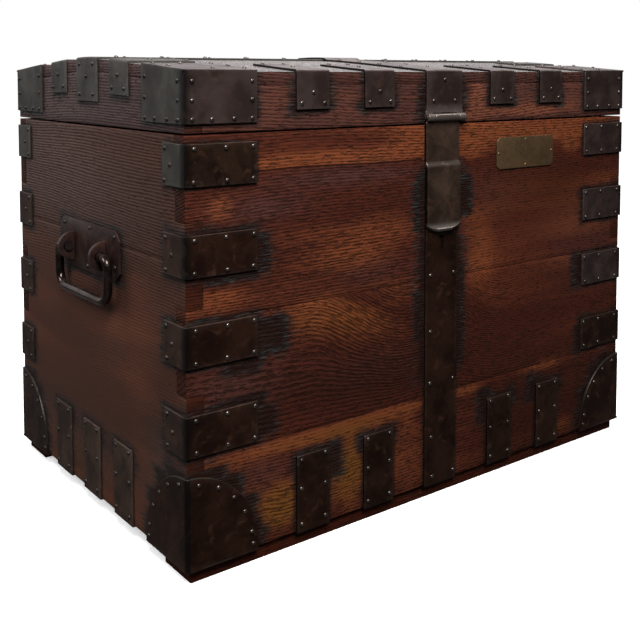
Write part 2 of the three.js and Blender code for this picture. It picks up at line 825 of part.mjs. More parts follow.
// The bar's centre line as points: the ends of straight stretches and steps round each bend.
function bailPoints() {
  const points = bailHalf(1).flatMap((curve) => {
    const steps = curve.isLineCurve3 ? 1 : bailBendSteps;
    return curve.getPoints(steps).slice(1);
  });
  const start = bailHalf(1)[0].getPoint(0);
  const half = [start, ...points];
  const mirrored = half.slice(0, -1).reverse();
  return [...half, ...mirrored.map(({ x, y, z }) => new THREE.Vector3(x, -y, z))];
}

// A bail of round bar that hangs from the pivot.
function bail() {
  const points = bailPoints();
  const ring = (i) => {
    const before = points[Math.max(i - 1, 0)];
    const after = points[Math.min(i + 1, points.length - 1)];
    const ahead = after.clone().sub(before).normalize();
    const sideways = new THREE.Vector3(0, -ahead.z, ahead.y);
    return Array.from({ length: bailSides }, (_, j) => {
      const turn = (2 * Math.PI * (j + 0.5)) / bailSides;
      const across = sideways.clone().multiplyScalar(bailBarRadius * Math.cos(turn));
      return points[i].clone().add(across).add(new THREE.Vector3(bailBarRadius * Math.sin(turn), 0, 0));
    });
  };
  const vertices = points.flatMap((_, i) => ring(i));
  const faces = [];
  const last = (points.length - 1) * bailSides;
  for (let i = 0; i < last; i += bailSides) {
    for (let j = 0; j < bailSides; j++) {
      const [a, b] = [i + j, i + ((j + 1) % bailSides)];
      faces.push(a, b, a + bailSides, b, b + bailSides, a + bailSides);
    }
  }
  for (let j = 1; j < bailSides - 1; j++) {
    faces.push(0, j + 1, j);
    faces.push(last, last + j, last + j + 1);
  }
  const geometry = new THREE.BufferGeometry().setFromPoints(vertices);
  geometry.setIndex(faces);
  return solidFrom(geometry);
}

// Assembly

const fromFront = (d) => d;
const fromBack = (d) => carcaseDepth - d;
const fromLeft = (d) => d - halfWidth;
const fromRight = (d) => halfWidth - d;

const chest = pivotGroup("chest", new THREE.Vector3());
const lid = pivotGroup("lid", new THREE.Vector3(0, hingeAxis.y, hingeAxis.z), chest);
const haspGroup = pivotGroup("hasp", new THREE.Vector3(0, haspAxis.y, haspAxis.z), lid);

addPiece(chest, "front_panel", frontPanel(), oak);
addPiece(chest, "back_panel", longPanel(fromBack, [0, ...frontCentres]), oak);
addPiece(chest, "left_end_panel", endPanel(fromLeft), oak);
addPiece(chest, "right_end_panel", endPanel(fromRight), oak);
addPiece(chest, "bottom_board", bottomBoard(), oak);
addPiece(chest, "front_skid", skid(fromFront), oak);
addPiece(chest, "rear_skid", skid(fromBack), oak);
addPiece(chest, "chest_lining", chestLining(), baize);

addPiece(lid, "lid_front_rail", lidLongRail(fromFront, frontCentres), oakLid);
addPiece(lid, "lid_back_rail", lidLongRail(fromBack, innerStraps), oakLid);
addPiece(lid, "lid_left_end", lidEndRail(-1), oakLid);
addPiece(lid, "lid_right_end", lidEndRail(1), oakLid);
addPiece(lid, "lid_top", lidTop(), oakLid);
addPiece(lid, "lid_lining", lidLining(), baize);

const strapSpan = carcaseHeight - cornerTopMargin - cornerStrapHeight - footHeight - cornerFootMargin;
for (let i = 0; i < cornerStrapCount; i++) {
  const rise = (strapSpan * i) / (cornerStrapCount - 1);
  const height = footHeight + cornerFootMargin + cornerStrapHeight / 2 + rise;
  atCorners(chest, `corner_strap_${i + 1}`, cornerStrap(), height, fourCorners);
}
atCorners(chest, "foot_bracket", footBracket(), 0, fourCorners);
atCorners(lid, "lid_cap", lidCap(), 0, fourCorners);

const ridge = [-1, 1].map((side) =>
  lidEndStrap(side, ridgeLine, ridgeWidth, lidBottom + ridgeMargin, fit, halfWidth + seatDepth),
);
addPiece(lid, "ridge_strap", joined(ridge), iron);
addPiece(lid, "lid_centre_strap", lidCentreStrap(), iron);

for (const [side, x] of [["left", outerStraps[0]], ["right", outerStraps[1]]]) {
  addPiece(lid, `${side}_hinge_lid_leaf`, hingeLidLeaf(x), iron);
  addPiece(chest, `${side}_hinge_body_leaf`, hingeBodyLeaf(x), iron);
  addPiece(lid, `${side}_hinge_pin`, hingePin(x), iron);
}

addPiece(haspGroup, "hasp", hasp(), iron);
addPiece(haspGroup, "hasp_staple", haspStaple(), iron);
addPiece(lid, "hasp_pin", haspPin(), iron);
addPiece(chest, "lock_strap", lockStrap(), iron);
addPiece(chest, "lock_case", lockCase(), iron);
addPiece(chest, "lock_bolt", boltSolid(0, 0), iron);
addPiece(chest, "name_plate", namePlate(), brass);

for (const [side, sign] of [["left", -1], ["right", 1]]) {
  const pivot = new THREE.Vector3(sign * (halfWidth + handlePivotStandoff), ridgeLine, handlePivotHeight);
  for (const [name, solid] of [["handle_plate", handlePlate()], ["bail", bail()]]) {
    const holder = new THREE.Group();
    holder.name = `${side}_${name}_group`;
    holder.userData.pivot = new THREE.Vector3();
    holder.position.copy(pivot);
    holder.rotation.z = sign > 0 ? Math.PI : 0;
    chest.add(holder);
    addPiece(holder, `${side}_${name}`, solid, iron);
  }
}

// The chest stands on its skids with the origin under the middle of its whole outline.
const object = new THREE.Group();
object.add(chest);
object.updateMatrixWorld(true);
const outline = new THREE.Box3().setFromObject(chest);
const middle = outline.getCenter(new THREE.Vector3());
chest.position.set(-middle.x, -middle.y, -outline.min.z);

export default object;
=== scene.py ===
"""Iron-bound oak silver chest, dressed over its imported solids."""

import logging
import math
from collections.abc import Callable, Iterable, Sequence
from dataclasses import dataclass, field
from enum import Enum
from typing import ClassVar, Union

import bmesh
import bpy
import numpy as np
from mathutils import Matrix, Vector, noise

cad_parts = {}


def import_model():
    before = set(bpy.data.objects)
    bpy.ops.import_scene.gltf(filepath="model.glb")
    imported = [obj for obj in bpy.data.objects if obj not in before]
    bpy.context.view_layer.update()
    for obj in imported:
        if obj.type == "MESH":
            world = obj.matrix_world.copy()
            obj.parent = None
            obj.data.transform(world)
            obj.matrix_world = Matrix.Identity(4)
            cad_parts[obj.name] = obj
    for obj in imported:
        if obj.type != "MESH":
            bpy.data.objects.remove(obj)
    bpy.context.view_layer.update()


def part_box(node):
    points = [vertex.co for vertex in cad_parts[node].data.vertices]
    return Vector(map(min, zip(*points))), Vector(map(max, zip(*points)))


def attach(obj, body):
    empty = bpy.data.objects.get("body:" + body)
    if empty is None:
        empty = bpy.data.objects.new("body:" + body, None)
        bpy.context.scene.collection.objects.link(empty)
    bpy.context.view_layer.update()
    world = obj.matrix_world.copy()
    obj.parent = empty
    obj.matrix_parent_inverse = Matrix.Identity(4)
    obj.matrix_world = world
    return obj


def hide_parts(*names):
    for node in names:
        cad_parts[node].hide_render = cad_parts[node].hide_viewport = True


LOG = logging.getLogger("silver_chest")
MM = 0.001
WELD = 2e-6
TINY = 1e-7
SHARP = 35.0
Array = np.ndarray
Pair = tuple[float, float]
Colour = tuple[float, float, float]
Mesh = bmesh.types.BMesh
Thing = bpy.types.Object
Value = Union[float, str, tuple, "Field"]


# Sizes and places


def stacked(*columns: Array) -> Array:
    """Points from columns of X, Y and Z."""
    return np.stack(np.broadcast_arrays(*columns), -1).astype(float)


@dataclass(frozen=True)
class Sizes:
    """Main sizes in millimetres, measured from the middle of the carcase's front lower edge."""

    width: float = 780.0
    depth: float = 502.0
    height: float = 484.0
    wall: float = 22.0
    fingers: int = 5
    lid_gap: float = 0.8
    lid_side: float = 68.0
    lid_board: float = 15.5
    crown_rise: float = 16.5
    crown_softness: float = 60.0
    fit: float = 0.3
    iron: float = 2.5
    strap: float = 49.0
    clasp: float = -4.0

    @property
    def half(self) -> float:
        """Half of the carcase's width."""
        return self.width / 2

    @property
    def ridge(self) -> float:
        """Distance of the crown's line from the front face."""
        return self.depth / 2

    @property
    def lid_low(self) -> float:
        """Height of the lid's lower edge."""
        return self.height + self.lid_gap

    @property
    def lid_edge(self) -> float:
        """Height of the lid's outer face at its long edges."""
        return self.lid_low + self.lid_side

    def camber(self, y: Array | float) -> Array:
        """Height of the lid's outer face over a distance from the front face.

        Args:
            y: Distance from the front face.

        Returns:
            The height.
        """

        def rounded(v: Array | float) -> Array:
            """Straight slope with a soft start."""
            return np.hypot(v, self.crown_softness) - self.crown_softness

        away = np.abs(np.asarray(y, float) - self.ridge)
        return self.lid_edge + self.crown_rise * (1 - rounded(away) / rounded(self.ridge))

    def lifted(self, points: Array, low: float, high: float, least: float = 0.0) -> Array:
        """Lifts points that were laid out on a flat lid to its camber.

        Args:
            points: Points in the chest's millimetres.
            low: Height that stays where it is.
            high: Height from which on points are lifted by the full amount.
            least: Share of the lift at the low height.

        Returns:
            The lifted points.
        """
        out = points.copy()
        share = np.clip((points[:, 2] - low) / (high - low), least, 1)
        out[:, 2] += share * (self.camber(points[:, 1]) - self.lid_edge)
        return out


S = Sizes()


def even_centres(half: float, corner: float, middle: float, count: int) -> list[float]:
    """Places left and right of the middle of straps set evenly between a middle strap and the corner iron.

    Args:
        half: Half of the wall's width.
        corner: Width of the corner iron.
        middle: Width of the middle strap.
        count: Number of straps on each side of the middle.

    Returns:
        The places, left and right in turn.
    """
    space = (half - corner - middle / 2 - count * S.strap) / (count + 1)
    first = middle / 2 + space + S.strap / 2
    return [sign * (first + i * (S.strap + space)) for i in range(count) for sign in (-1, 1)]


FRONT_CENTRES = even_centres(S.half, 92.5, 66.0, 2)
END_CENTRES = even_centres(S.ridge, 95.0, 61.0, 1)
HINGE_CENTRES = sorted(FRONT_CENTRES)[::3]


class Side(Enum):
    """A wall of the chest."""

    FRONT = "front"
    BACK = "back"
    LEFT = "left"
    RIGHT = "right"

    def place(self, inward: Array, height: Array, along: Array) -> Array:
        """Points given by the distance in from this wall's face, height and place along it.

        Args:
            inward: Distance in from the face.
            height: Height.
            along: Place along the wall.

        Returns:
            Points in chest millimetres.
        """
        columns = {
            Side.FRONT: (along, inward, height),
            Side.BACK: (along, S.depth - inward, height),
            Side.LEFT: (inward - S.half, along, height),
            Side.RIGHT: (S.half - inward, along, height),
        }
        return stacked(*columns[self])


@dataclass(frozen=True)
class Corner:
    """A vertical corner of the chest."""

    label: str
    x: int
    y: int

    def place(self, a: Array, b: Array, height: Array) -> Array:
        """Points given by the distances in from the end and from the long wall, and height."""
        return stacked(self.x * (S.half - a), b if self.y < 0 else S.depth - b, height)

    def level_place(self, a: Array, b: Array, w: Array) -> Array:
        """Points of a plate that lies level over the corner."""
        return self.place(a, w, b)


CORNERS = (
    Corner("front_left", -1, -1),
    Corner("front_right", 1, -1),
    Corner("back_left", -1, 1),
    Corner("back_right", 1, 1),
)


class Bench:
    """Turns points in the chest's millimetres into pieces in the row frame."""

    MERGE: ClassVar[float] = 1e-6
    FLAT_WITHIN: ClassVar[float] = 1.0
    BEVEL_ABOVE: ClassVar[float] = 30.0
    SIDEWAYS: ClassVar[float] = 0.8

    def __init__(self) -> None:
        """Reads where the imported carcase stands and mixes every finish."""
        low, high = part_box("left_end_panel")
        self.origin = np.array([0.0, low.y, high.z - S.height * MM])
        effects = Effects()
        self.mixed = {finish: finish.value.build(effects) for finish in Finish}

    def rowed(self, points: Array) -> Array:
        """Points in millimetres of the chest's frame as metres of the row frame."""
        return np.asarray(points, float) * MM + self.origin

    def piece(
        self,
        name: str,
        mesh: Mesh,
        finish: "Finish",
        body: str = "chest",
        replaces: Sequence[str] = (),
        sharp: float = SHARP,
    ) -> Thing:
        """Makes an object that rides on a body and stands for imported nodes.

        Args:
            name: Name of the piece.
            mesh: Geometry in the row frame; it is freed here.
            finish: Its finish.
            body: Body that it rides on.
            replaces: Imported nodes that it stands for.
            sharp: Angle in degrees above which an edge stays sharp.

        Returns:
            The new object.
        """
        bmesh.ops.remove_doubles(mesh, verts=mesh.verts, dist=WELD)
        bmesh.ops.dissolve_degenerate(mesh, dist=TINY, edges=mesh.edges)
        bmesh.ops.recalc_face_normals(mesh, faces=mesh.faces)
        thing = linked(name, mesh)
        thing.data.shade_smooth()
        thing.data.set_sharp_from_angle(angle=math.radians(sharp))
        thing.data.materials.append(self.mixed[finish])
        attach(thing, body)
        if replaces:
            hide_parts(*replaces)
        LOG.info("%s: %d faces on %s", name, len(thing.data.polygons), body)
        return thing

    def box(self, node: str) -> list[Array]:
        """The low and high corners of a part of the frame in chest millimetres."""
        return [(np.array(corner) - self.origin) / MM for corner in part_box(node)]

    def measured(self, thing: Thing) -> Array:
        """The vertices of an object in chest millimetres.

        Args:
            thing: The object.

        Returns:
            Its points, one in each row.
        """
        flat = np.empty(len(thing.data.vertices) * 3)
        thing.data.vertices.foreach_get("co", flat)
        return (flat.reshape(-1, 3) - self.origin) / MM

    @staticmethod
    def note(thing: Thing, name: str, values: Array) -> None:
        """Writes one value for each vertex, which the finishes read by its name."""
        layer = thing.data.attributes.get(name) or thing.data.attributes.new(name, "FLOAT", "POINT")
        layer.data.foreach_set("value", np.asarray(values, np.float32))

    def refaced(self, thing: Thing, finish: "Finish", axis: int, beyond: float = 0.0, steep: float = 0.7) -> None:
        """Gives the faces that look along an axis, beyond a distance from the middle, another finish.

        Args:
            thing: The piece.
            finish: The other finish.
            axis: Index of the axis.
            beyond: Least distance of the faces from the middle, in millimetres.
            steep: Least share of a face's direction along the axis.
        """
        thing.data.materials.append(self.mixed[finish])
        for face in thing.data.polygons:
            if abs(face.normal[axis]) > steep and abs(face.center[axis]) > beyond * MM:
                face.material_index = len(thing.data.materials) - 1

    def paint_side_shade(self, thing: Thing) -> None:
        """Marks the faces that look along X for painted shade, which darkens them.

        Args:
            thing: The piece.
        """
        values = np.zeros(len(thing.data.vertices))
        for face in thing.data.polygons:
            if abs(face.normal.x) > self.SIDEWAYS:
                values[list(face.vertices)] = 1.0
        self.note(thing, "fold", values)

    @classmethod
    def bevelled(cls, mesh: Mesh, width: float, segments: int = 2) -> Mesh:
        """A copy of closed geometry with its sharp edges rounded.

        Args:
            mesh: Closed geometry; it is freed here.
            width: Width of the rounding in millimetres.
            segments: Steps of the rounding.

        Returns:
            The rounded geometry.
        """
        thing = linked("bevel_work", mesh)
        modifier = thing.modifiers.new("Edges", "BEVEL")
        modifier.width = width * MM
        modifier.segments = segments
        modifier.limit_method = "ANGLE"
        modifier.angle_limit = math.radians(cls.BEVEL_ABOVE)
        return evaluated(thing)

    def refined(
        self, node: str, finish: "Finish", body: str = "chest", bevel: float = 0.6, segments: int = 2
    ) -> Thing:
        """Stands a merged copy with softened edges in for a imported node.

        Args:
            node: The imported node.
            finish: Finish of the piece.
            body: Body that it rides on.
            bevel: Width of the softened edges in millimetres.
            segments: Steps of the softening.

        Returns:
            The new object.
        """
        mesh = bmesh.new()
        mesh.from_mesh(bpy.data.objects[node].data)
        bmesh.ops.remove_doubles(mesh, verts=mesh.verts, dist=self.MERGE)
        flat = math.radians(self.FLAT_WITHIN)
        bmesh.ops.dissolve_limit(mesh, angle_limit=flat, verts=mesh.verts, edges=mesh.edges)
        return self.piece(f"{node}_piece", self.bevelled(mesh, bevel, segments), finish, body, [node])


def linked(name: str, mesh: Mesh) -> Thing:
    """An object in the scene that holds some geometry, which is freed.

    Args:
        name: Name of the object.
        mesh: Its geometry.

    Returns:
        The new object.
    """
    data = bpy.data.meshes.new(name)
    mesh.to_mesh(data)
    mesh.free()
    thing = bpy.data.objects.new(name, data)
    bpy.context.scene.collection.objects.link(thing)
    return thing


def evaluated(thing: Thing) -> Mesh:
    """The evaluated geometry of an object, which is removed.

    Args:
        thing: The object.

    Returns:
        Its geometry with the modifiers applied.
    """
    graph = bpy.context.evaluated_depsgraph_get()
    data, old = bpy.data.meshes.new_from_object(thing.evaluated_get(graph)), thing.data
    mesh = bmesh.new()
    mesh.from_mesh(data)
    bpy.data.objects.remove(thing)
    bpy.data.meshes.remove(data)
    bpy.data.meshes.remove(old)
    return mesh


def solid(points: Array, faces: Iterable[Sequence[int]]) -> Mesh:
    """Geometry from points and faces; faces that collapse to a line are left out.

    Args:
        points: The points.
        faces: Numbers of each face's points.

    Returns:
        The new geometry.
    """
    mesh = bmesh.new()
    corners = [mesh.verts.new(p) for p in points]
    for face in faces:
        around = [corners[i] for i in face]
        if len(set(around)) >= 3 and mesh.faces.get(around) is None:
            mesh.faces.new(around)
    return mesh


def tube(points: Array, rings: int, sides: int, closed: bool) -> Mesh:
    """Geometry of rings of points that follow each other.

    Args:
        points: The points, ring by ring.
        rings: Number of rings.
        sides: Points in each ring.
        closed: Whether a face closes each end; without it the end rings are single points.

    Returns:
        The closed geometry.
    """
    faces = [
        (i * sides + j, i * sides + (j + 1) % sides, (i + 1) * sides + (j + 1) % sides, (i + 1) * sides + j)
        for i in range(rings - 1)
        for j in range(sides)
    ]
    if closed:
        faces += [tuple(range(sides))[::-1], tuple(range((rings - 1) * sides, rings * sides))]
    return solid(points, faces)


def merged(meshes: Iterable[Mesh]) -> Mesh:
    """One geometry that holds several, which are freed.

    Args:
        meshes: The geometries.

    Returns:
        The new geometry.
    """
    whole = bmesh.new()
    for mesh in meshes:
        data = bpy.data.meshes.new("merge_work")
        mesh.to_mesh(data)
        mesh.free()
        whole.from_mesh(data)
        bpy.data.meshes.remove(data)
    return whole


def wavering(points: Array, size: float, seed: float) -> Array:
    """Smooth noise from -1 to 1 at points in millimetres, with bumps of a given size."""
    shift = Vector((seed, 0.37 * seed, 1.7 * seed))
    return np.array([noise.noise(Vector(p) / size + shift) for p in points])


# Iron bars and plates


def curve(a: Sequence[float], b: Sequence[float], c: Sequence[float], count: int) -> list[Array]:
    """Points round a bend from one point to another, pulled towards the one between."""
    p, q, r = (np.array(v, float) for v in (a, b, c))
    return [(1 - t) ** 2 * p + 2 * t * (1 - t) * q + t * t * r for t in np.linspace(0, 1, count)]


def rounded_path(points: Sequence[Pair], radius: float, steps: int = 4) -> list[Pair]:
    """A path with each inner corner turned into an arc.

    Args:
        points: Corners of the path.
        radius: Radius of the arcs.
        steps: Steps of each arc.

    Returns:
        Points of the rounded path.
    """
    out = [points[0]]
    for before, here, after in zip(points, points[1:], points[2:]):
        p, q, r = (np.array(v, float) for v in (before, here, after))
        near, far = np.linalg.norm(p - q), np.linalg.norm(r - q)
        u, v = (p - q) / near, (r - q) / far
        half = math.acos(float(np.clip(u @ v, -1, 1))) / 2
        reach = min(radius / math.tan(half), 0.45 * near, 0.45 * far)
        out += [tuple(spot.tolist()) for spot in curve(q + u * reach, q, q + v * reach, steps + 1)]
    return [*out, points[-1]]


def folded(top: Pair, low: Pair) -> list[Pair]:
    """The path of an iron laid over an edge, given by its two ends."""
    return rounded_path([top, (-S.fit, top[1]) if top[0] > 0 else (top[0], low[1]), low], 0.8)


Edge = Callable[[Array], Array] | float


@dataclass
class Bar:
    """A flat iron bar bent along a path, with softened rims and a slightly uneven face.

    Attributes:
        path: Back face of the bar in the plane of its bends; outward is to the right of travel.
        place: Turns path coordinates and the place across into chest millimetres.
        low: Lower edge across, steady or for each distance along.
        high: Upper edge across, steady or for each distance along.
        thickness: Thickness of the iron.
        rim: Width of the softened rim.
        wave: Height of the unevenness.
        seed: Seed of the unevenness.
        step: Longest step along the path.
        columns: Points across the face.
        lift: A last change to every point.
    """

    SPARE: ClassVar[int] = 2
    TRAVEL: ClassVar[float] = 0.4
    BUMP_SIZE: ClassVar[float] = 38.0
    SWAY_SIZE: ClassVar[float] = 55.0
    SWAY: ClassVar[float] = 0.45

    path: Sequence[Pair]
    place: Callable[[Array, Array, Array], Array]
    low: Edge
    high: Edge
    thickness: float = S.iron
    rim: float = 0.55
    wave: float = 0.22
    seed: float = 0.0
    step: float = 9.0
    columns: int = 7
    lift: Callable[[Array], Array] = lambda points: points
    ways: Array = field(init=False)
    along: Array = field(init=False)

    def __post_init__(self) -> None:
        """Splits the path into short steps and measures it."""
        points = np.array(self.path, float)
        dense = [points[0]]
        for a, b in zip(points, points[1:]):
            count = max(1, math.ceil(np.linalg.norm(b - a) / self.step))
            dense += [a + (b - a) * (i + 1) / count for i in range(count)]
        self.ways = np.array(dense)
        gaps = np.linalg.norm(np.diff(self.ways, axis=0), axis=1)
        self.along = np.concatenate([[0.0], np.cumsum(gaps)])

    @property
    def length(self) -> float:
        """Length of the bar's back face."""
        return float(self.along[-1])

    def at(self, s: Array) -> Array:
        """Points of the back face at distances along the path."""
        return np.stack([np.interp(s, self.along, self.ways[:, i]) for i in (0, 1)], -1)

    def spot(self, s: Array) -> tuple[Array, Array]:
        """Points of the back face and their outward directions at distances along the path.

        Args:
            s: Distances along the path.

        Returns:
            The points and the directions.
        """
        travel = self.at(s + self.TRAVEL) - self.at(s - self.TRAVEL)
        travel /= np.linalg.norm(travel, axis=1, keepdims=True)
        return self.at(s), np.stack([travel[:, 1], -travel[:, 0]], -1)

    def geometry(self, bench: Bench) -> Mesh:
        """The bar as closed geometry in the row frame.

        Args:
            bench: The bench that places it.

        Returns:
            The new geometry.
        """
        rim = self.rim
        inner = self.along[(self.along > 2 * rim) & (self.along < self.length - 2 * rim)]
        s = np.concatenate([[0, 0, rim], inner, [self.length - rim, self.length, self.length]])
        low, high = (edge(s) if callable(edge) else np.full(len(s), float(edge)) for edge in (self.low, self.high))
        inset = np.minimum(rim, (high - low) / 4)
        middle = [low + inset + (high - low - 2 * inset) * f for f in np.linspace(0, 1, self.columns)]
        over = np.stack([low, low, *middle, high, high], 1)

        def rise(count: int) -> Array:
            """Height of the face from one rim to the other."""
            return np.array([0, self.thickness - rim, *[self.thickness] * count, self.thickness - rim, 0])

        height = np.minimum(rise(len(s) - 4)[:, None], rise(self.columns)[None, :])
        back, out = self.spot(s)
        a = back[:, None, 0] + out[:, None, 0] * height
        b = back[:, None, 1] + out[:, None, 1] * height
        base = self.place(a.ravel(), b.ravel(), over.ravel())
        bumps = self.wave * wavering(base, self.BUMP_SIZE, self.seed).reshape(height.shape) * (height > 0)
        a = a + out[:, None, 0] * bumps
        b = b + out[:, None, 1] * bumps
        count = self.columns + 4
        sway = self.SWAY * wavering(base, self.SWAY_SIZE, self.seed + 9.0).reshape(height.shape)
        edge = np.minimum(np.arange(count), np.arange(count)[::-1]) < self.SPARE
        over = over + sway * np.where(edge, 1, 0.6)
        points = self.lift(self.place(a.ravel(), b.ravel(), over.ravel()))
        rows = len(s)
        index = np.arange(rows * count).reshape(rows, count)
        faces = [
            (index[r, c], index[r, c + 1], index[r + 1, c + 1], index[r + 1, c])
            for r in range(rows - 1)
            for c in range(count - 1)
        ]
        for r in range(2, rows - 3):
            faces.append((index[r, 0], index[r + 1, 0], index[r + 1, -1], index[r, -1]))
        faces.append((*index[0, :], index[2, -1], index[2, 0]))
        faces.append((*index[-1, ::-1], index[rows - 3, 0], index[rows - 3, -1]))
        mesh = solid(bench.rowed(points), faces)
        bmesh.ops.remove_doubles(mesh, verts=mesh.verts, dist=WELD)
        return mesh

    def rivet(self, s: float, across: float) -> tuple[Array, Array]:
        """Place and outward direction of a rivet, in chest millimetres.

        Args:
            s: Distance along the path.
            across: Place across the bar.

        Returns:
            The place and the direction.
        """
        back, out = self.spot(np.array([s]))
        ends = [back + out * (self.thickness + more) for more in (0, 1)]
        near, far = (self.lift(self.place(p[:, 0], p[:, 1], np.array([across])))[0] for p in ends)
        return near, far - near


def barrel(bench: Bench, radius: float, centre: Pair, ends: Pair) -> Mesh:
    """A round bar along X with softened ends.

    Args:
        bench: The bench that places it.
        radius: Radius in millimetres.
        centre: Its place in Y and Z.
        ends: Where it starts and stops along X.

    Returns:
        The closed geometry.
    """
    soft, sides = 0.14 * radius, 28
    low, high = ends
    first = [(0, low), (radius - soft, low), (radius, low + soft)]
    profile = [*first, (radius, high - soft), (radius - soft, high), (0, high)]
    turns = [2 * math.pi * i / sides for i in range(sides)]
    points = [(x, centre[0] + r * math.cos(t), centre[1] + r * math.sin(t)) for r, x in profile for t in turns]
    mesh = tube(bench.rowed(np.array(points)), len(profile), sides, False)
    bmesh.ops.remove_doubles(mesh, verts=mesh.verts, dist=WELD)
    return mesh


class RivetKit:
    """Gathers rivet places and sets domed heads on them with a geometry tree."""

    def __init__(self, bench: Bench) -> None:
        """Starts with no rivets and builds the tree.

        Args:
            bench: The bench that places the heads.
        """
        self.bench = bench
        self.spots: dict[str, list[tuple[Array, Array]]] = {}
        self.tree = self.build_tree()

    def add(self, group: str, spots: Iterable[tuple[Array, Array]]) -> None:
        """Adds rivets to a named group; those on the ends go to a group of their own, which takes a near-black copy of
        the rivet iron as painted shade.

        Args:
            group: Name of the group.
            spots: Place and direction of each rivet.
        """
        for spot, out in spots:
            end = "_end" if abs(out[0]) > abs(out[1]) + abs(out[2]) else ""
            self.spots.setdefault(group + end, []).append((spot, out))

    def add_plain(self, group: str, spots: Iterable[Sequence[float]], out: Sequence[float]) -> None:
        """Adds rivets that stand at given places and all look the same way."""
        self.add(group, [(np.array(spot, float), np.array(out, float)) for spot in spots])

    @staticmethod
    def build_tree() -> bpy.types.NodeTree:
        """The tree that sets one domed head on each point, turned to its outward direction.

        Returns:
            The tree.
        """
        tree = bpy.data.node_groups.new("Rivet heads", "GeometryNodeTree")
        starts = {"Geometry": None, "Radius": 0.0029, "Height": 0.0019, "Seed": 4, "Finish": None}
        kinds = ("Geometry", "Float", "Float", "Int", "Material")
        for (name, start), kind in zip(starts.items(), kinds):
            socket = tree.interface.new_socket(name, in_out="INPUT", socket_type=f"NodeSocket{kind}")
            if start is not None:
                socket.default_value = start
        tree.interface.new_socket("Geometry", in_out="OUTPUT", socket_type="NodeSocketGeometry")
        sheet = Sheet(tree)
        given = sheet.outputs(sheet.add("NodeGroupInput"))
        aim = sheet.get("GeometryNodeInputNamedAttribute", {"Name": "aim"}, data_type="FLOAT_VECTOR")
        turn = sheet.get("FunctionNodeAlignRotationToVector", {"Vector": aim}, axis="Z")
        dome = sheet.get("GeometryNodeMeshUVSphere", {"Segments": 10, "Rings": 6, "Radius": 1.0})
        sizes = {"X": given["Radius"], "Y": given["Radius"], "Z": given["Height"]}
        size = sheet.get("ShaderNodeCombineXYZ", sizes)
        shaped = sheet.get("GeometryNodeTransform", {"Geometry": dome, "Scale": size})
        spread = {"Min": (0.9, 0.9, 0.8), "Max": (1.1, 1.1, 1.15), "Seed": given["Seed"]}
        vary = sheet.get("FunctionNodeRandomValue", spread, data_type="FLOAT_VECTOR")
        heads = {"Points": given["Geometry"], "Instance": shaped, "Rotation": turn, "Scale": vary}
        placed = sheet.get("GeometryNodeInstanceOnPoints", heads)
        real = sheet.get("GeometryNodeRealizeInstances", {"Geometry": placed})
        smooth = sheet.get("GeometryNodeSetShadeSmooth", {"Geometry": real})
        dressed = {"Geometry": smooth, "Material": given["Finish"]}
        return sheet.close(sheet.get("GeometryNodeSetMaterial", dressed))

    def set_heads(self, group: str, finish: "Finish", body: str, radius: float = 2.9, height: float = 2.0) -> None:
        """Makes the heads of one group.

        Args:
            group: The group's name, also the piece's.
            finish: Finish of the heads.
            body: Body that they ride on.
            radius: Radius of a head in millimetres.
            height: Height of a head in millimetres.
        """
        spots = self.spots[group]
        holder = linked(f"{group}_points", solid(self.bench.rowed(np.array([p for p, _ in spots])), []))
        aims = holder.data.attributes.new("aim", "FLOAT_VECTOR", "POINT")
        aims.data.foreach_set("vector", np.array([n for _, n in spots], np.float32).ravel())
        modifier = holder.modifiers.new("Heads", "NODES")
        modifier.node_group = self.tree
        wanted = {"Radius": radius * MM, "Height": height * MM, "Seed": len(spots)}
        wanted["Finish"] = self.bench.mixed[finish]
        for item in self.tree.interface.items_tree:
            if item.in_out == "INPUT" and item.name in wanted:
                modifier[item.identifier] = wanted[item.name]
        self.bench.piece(group, evaluated(holder), finish, body, sharp=80.0)


@dataclass
class Maker:
    """Whoever builds an assembly, at the bench and with the rivets at hand."""

    # Reach and fade of the painted shade along a fold, in millimetres.
    SHADE_REACH: ClassVar[float] = 4.6
    SHADE_FADE: ClassVar[float] = 1.1

    bench: Bench
    rivets: RivetKit

    def forged(
        self,
        name: str,
        bars: Iterable[Bar | Mesh],
        finish: "Finish",
        body: str = "chest",
        replaces: Sequence[str] = (),
    ) -> Thing:
        """A piece of one or more bars.

        Args:
            name: Name of the piece.
            bars: Bars, or geometry of other shapes.
            finish: Its finish.
            body: Body that it rides on.
            replaces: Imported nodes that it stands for.

        Returns:
            The new object.
        """
        meshes = (bar.geometry(self.bench) if isinstance(bar, Bar) else bar for bar in bars)
        return self.bench.piece(name, merged(meshes), finish, body, replaces)

    def paint_fold_shade(self, thing: Thing, corner: Corner) -> None:
        """Marks the fold of a piece at a vertical corner for painted shade, which darkens it.

        Args:
            thing: The piece.
            corner: Corner of the chest.
        """
        points = self.bench.measured(thing)
        iron = S.fit + S.iron
        edge = corner.place(np.array([-iron]), np.array([-iron]), np.array([0.0]))[0]
        away = np.hypot(points[:, 0] - edge[0], points[:, 1] - edge[1])
        self.bench.note(thing, "fold", np.clip((self.SHADE_REACH - away) / self.SHADE_FADE, 0, 1))


# Shading


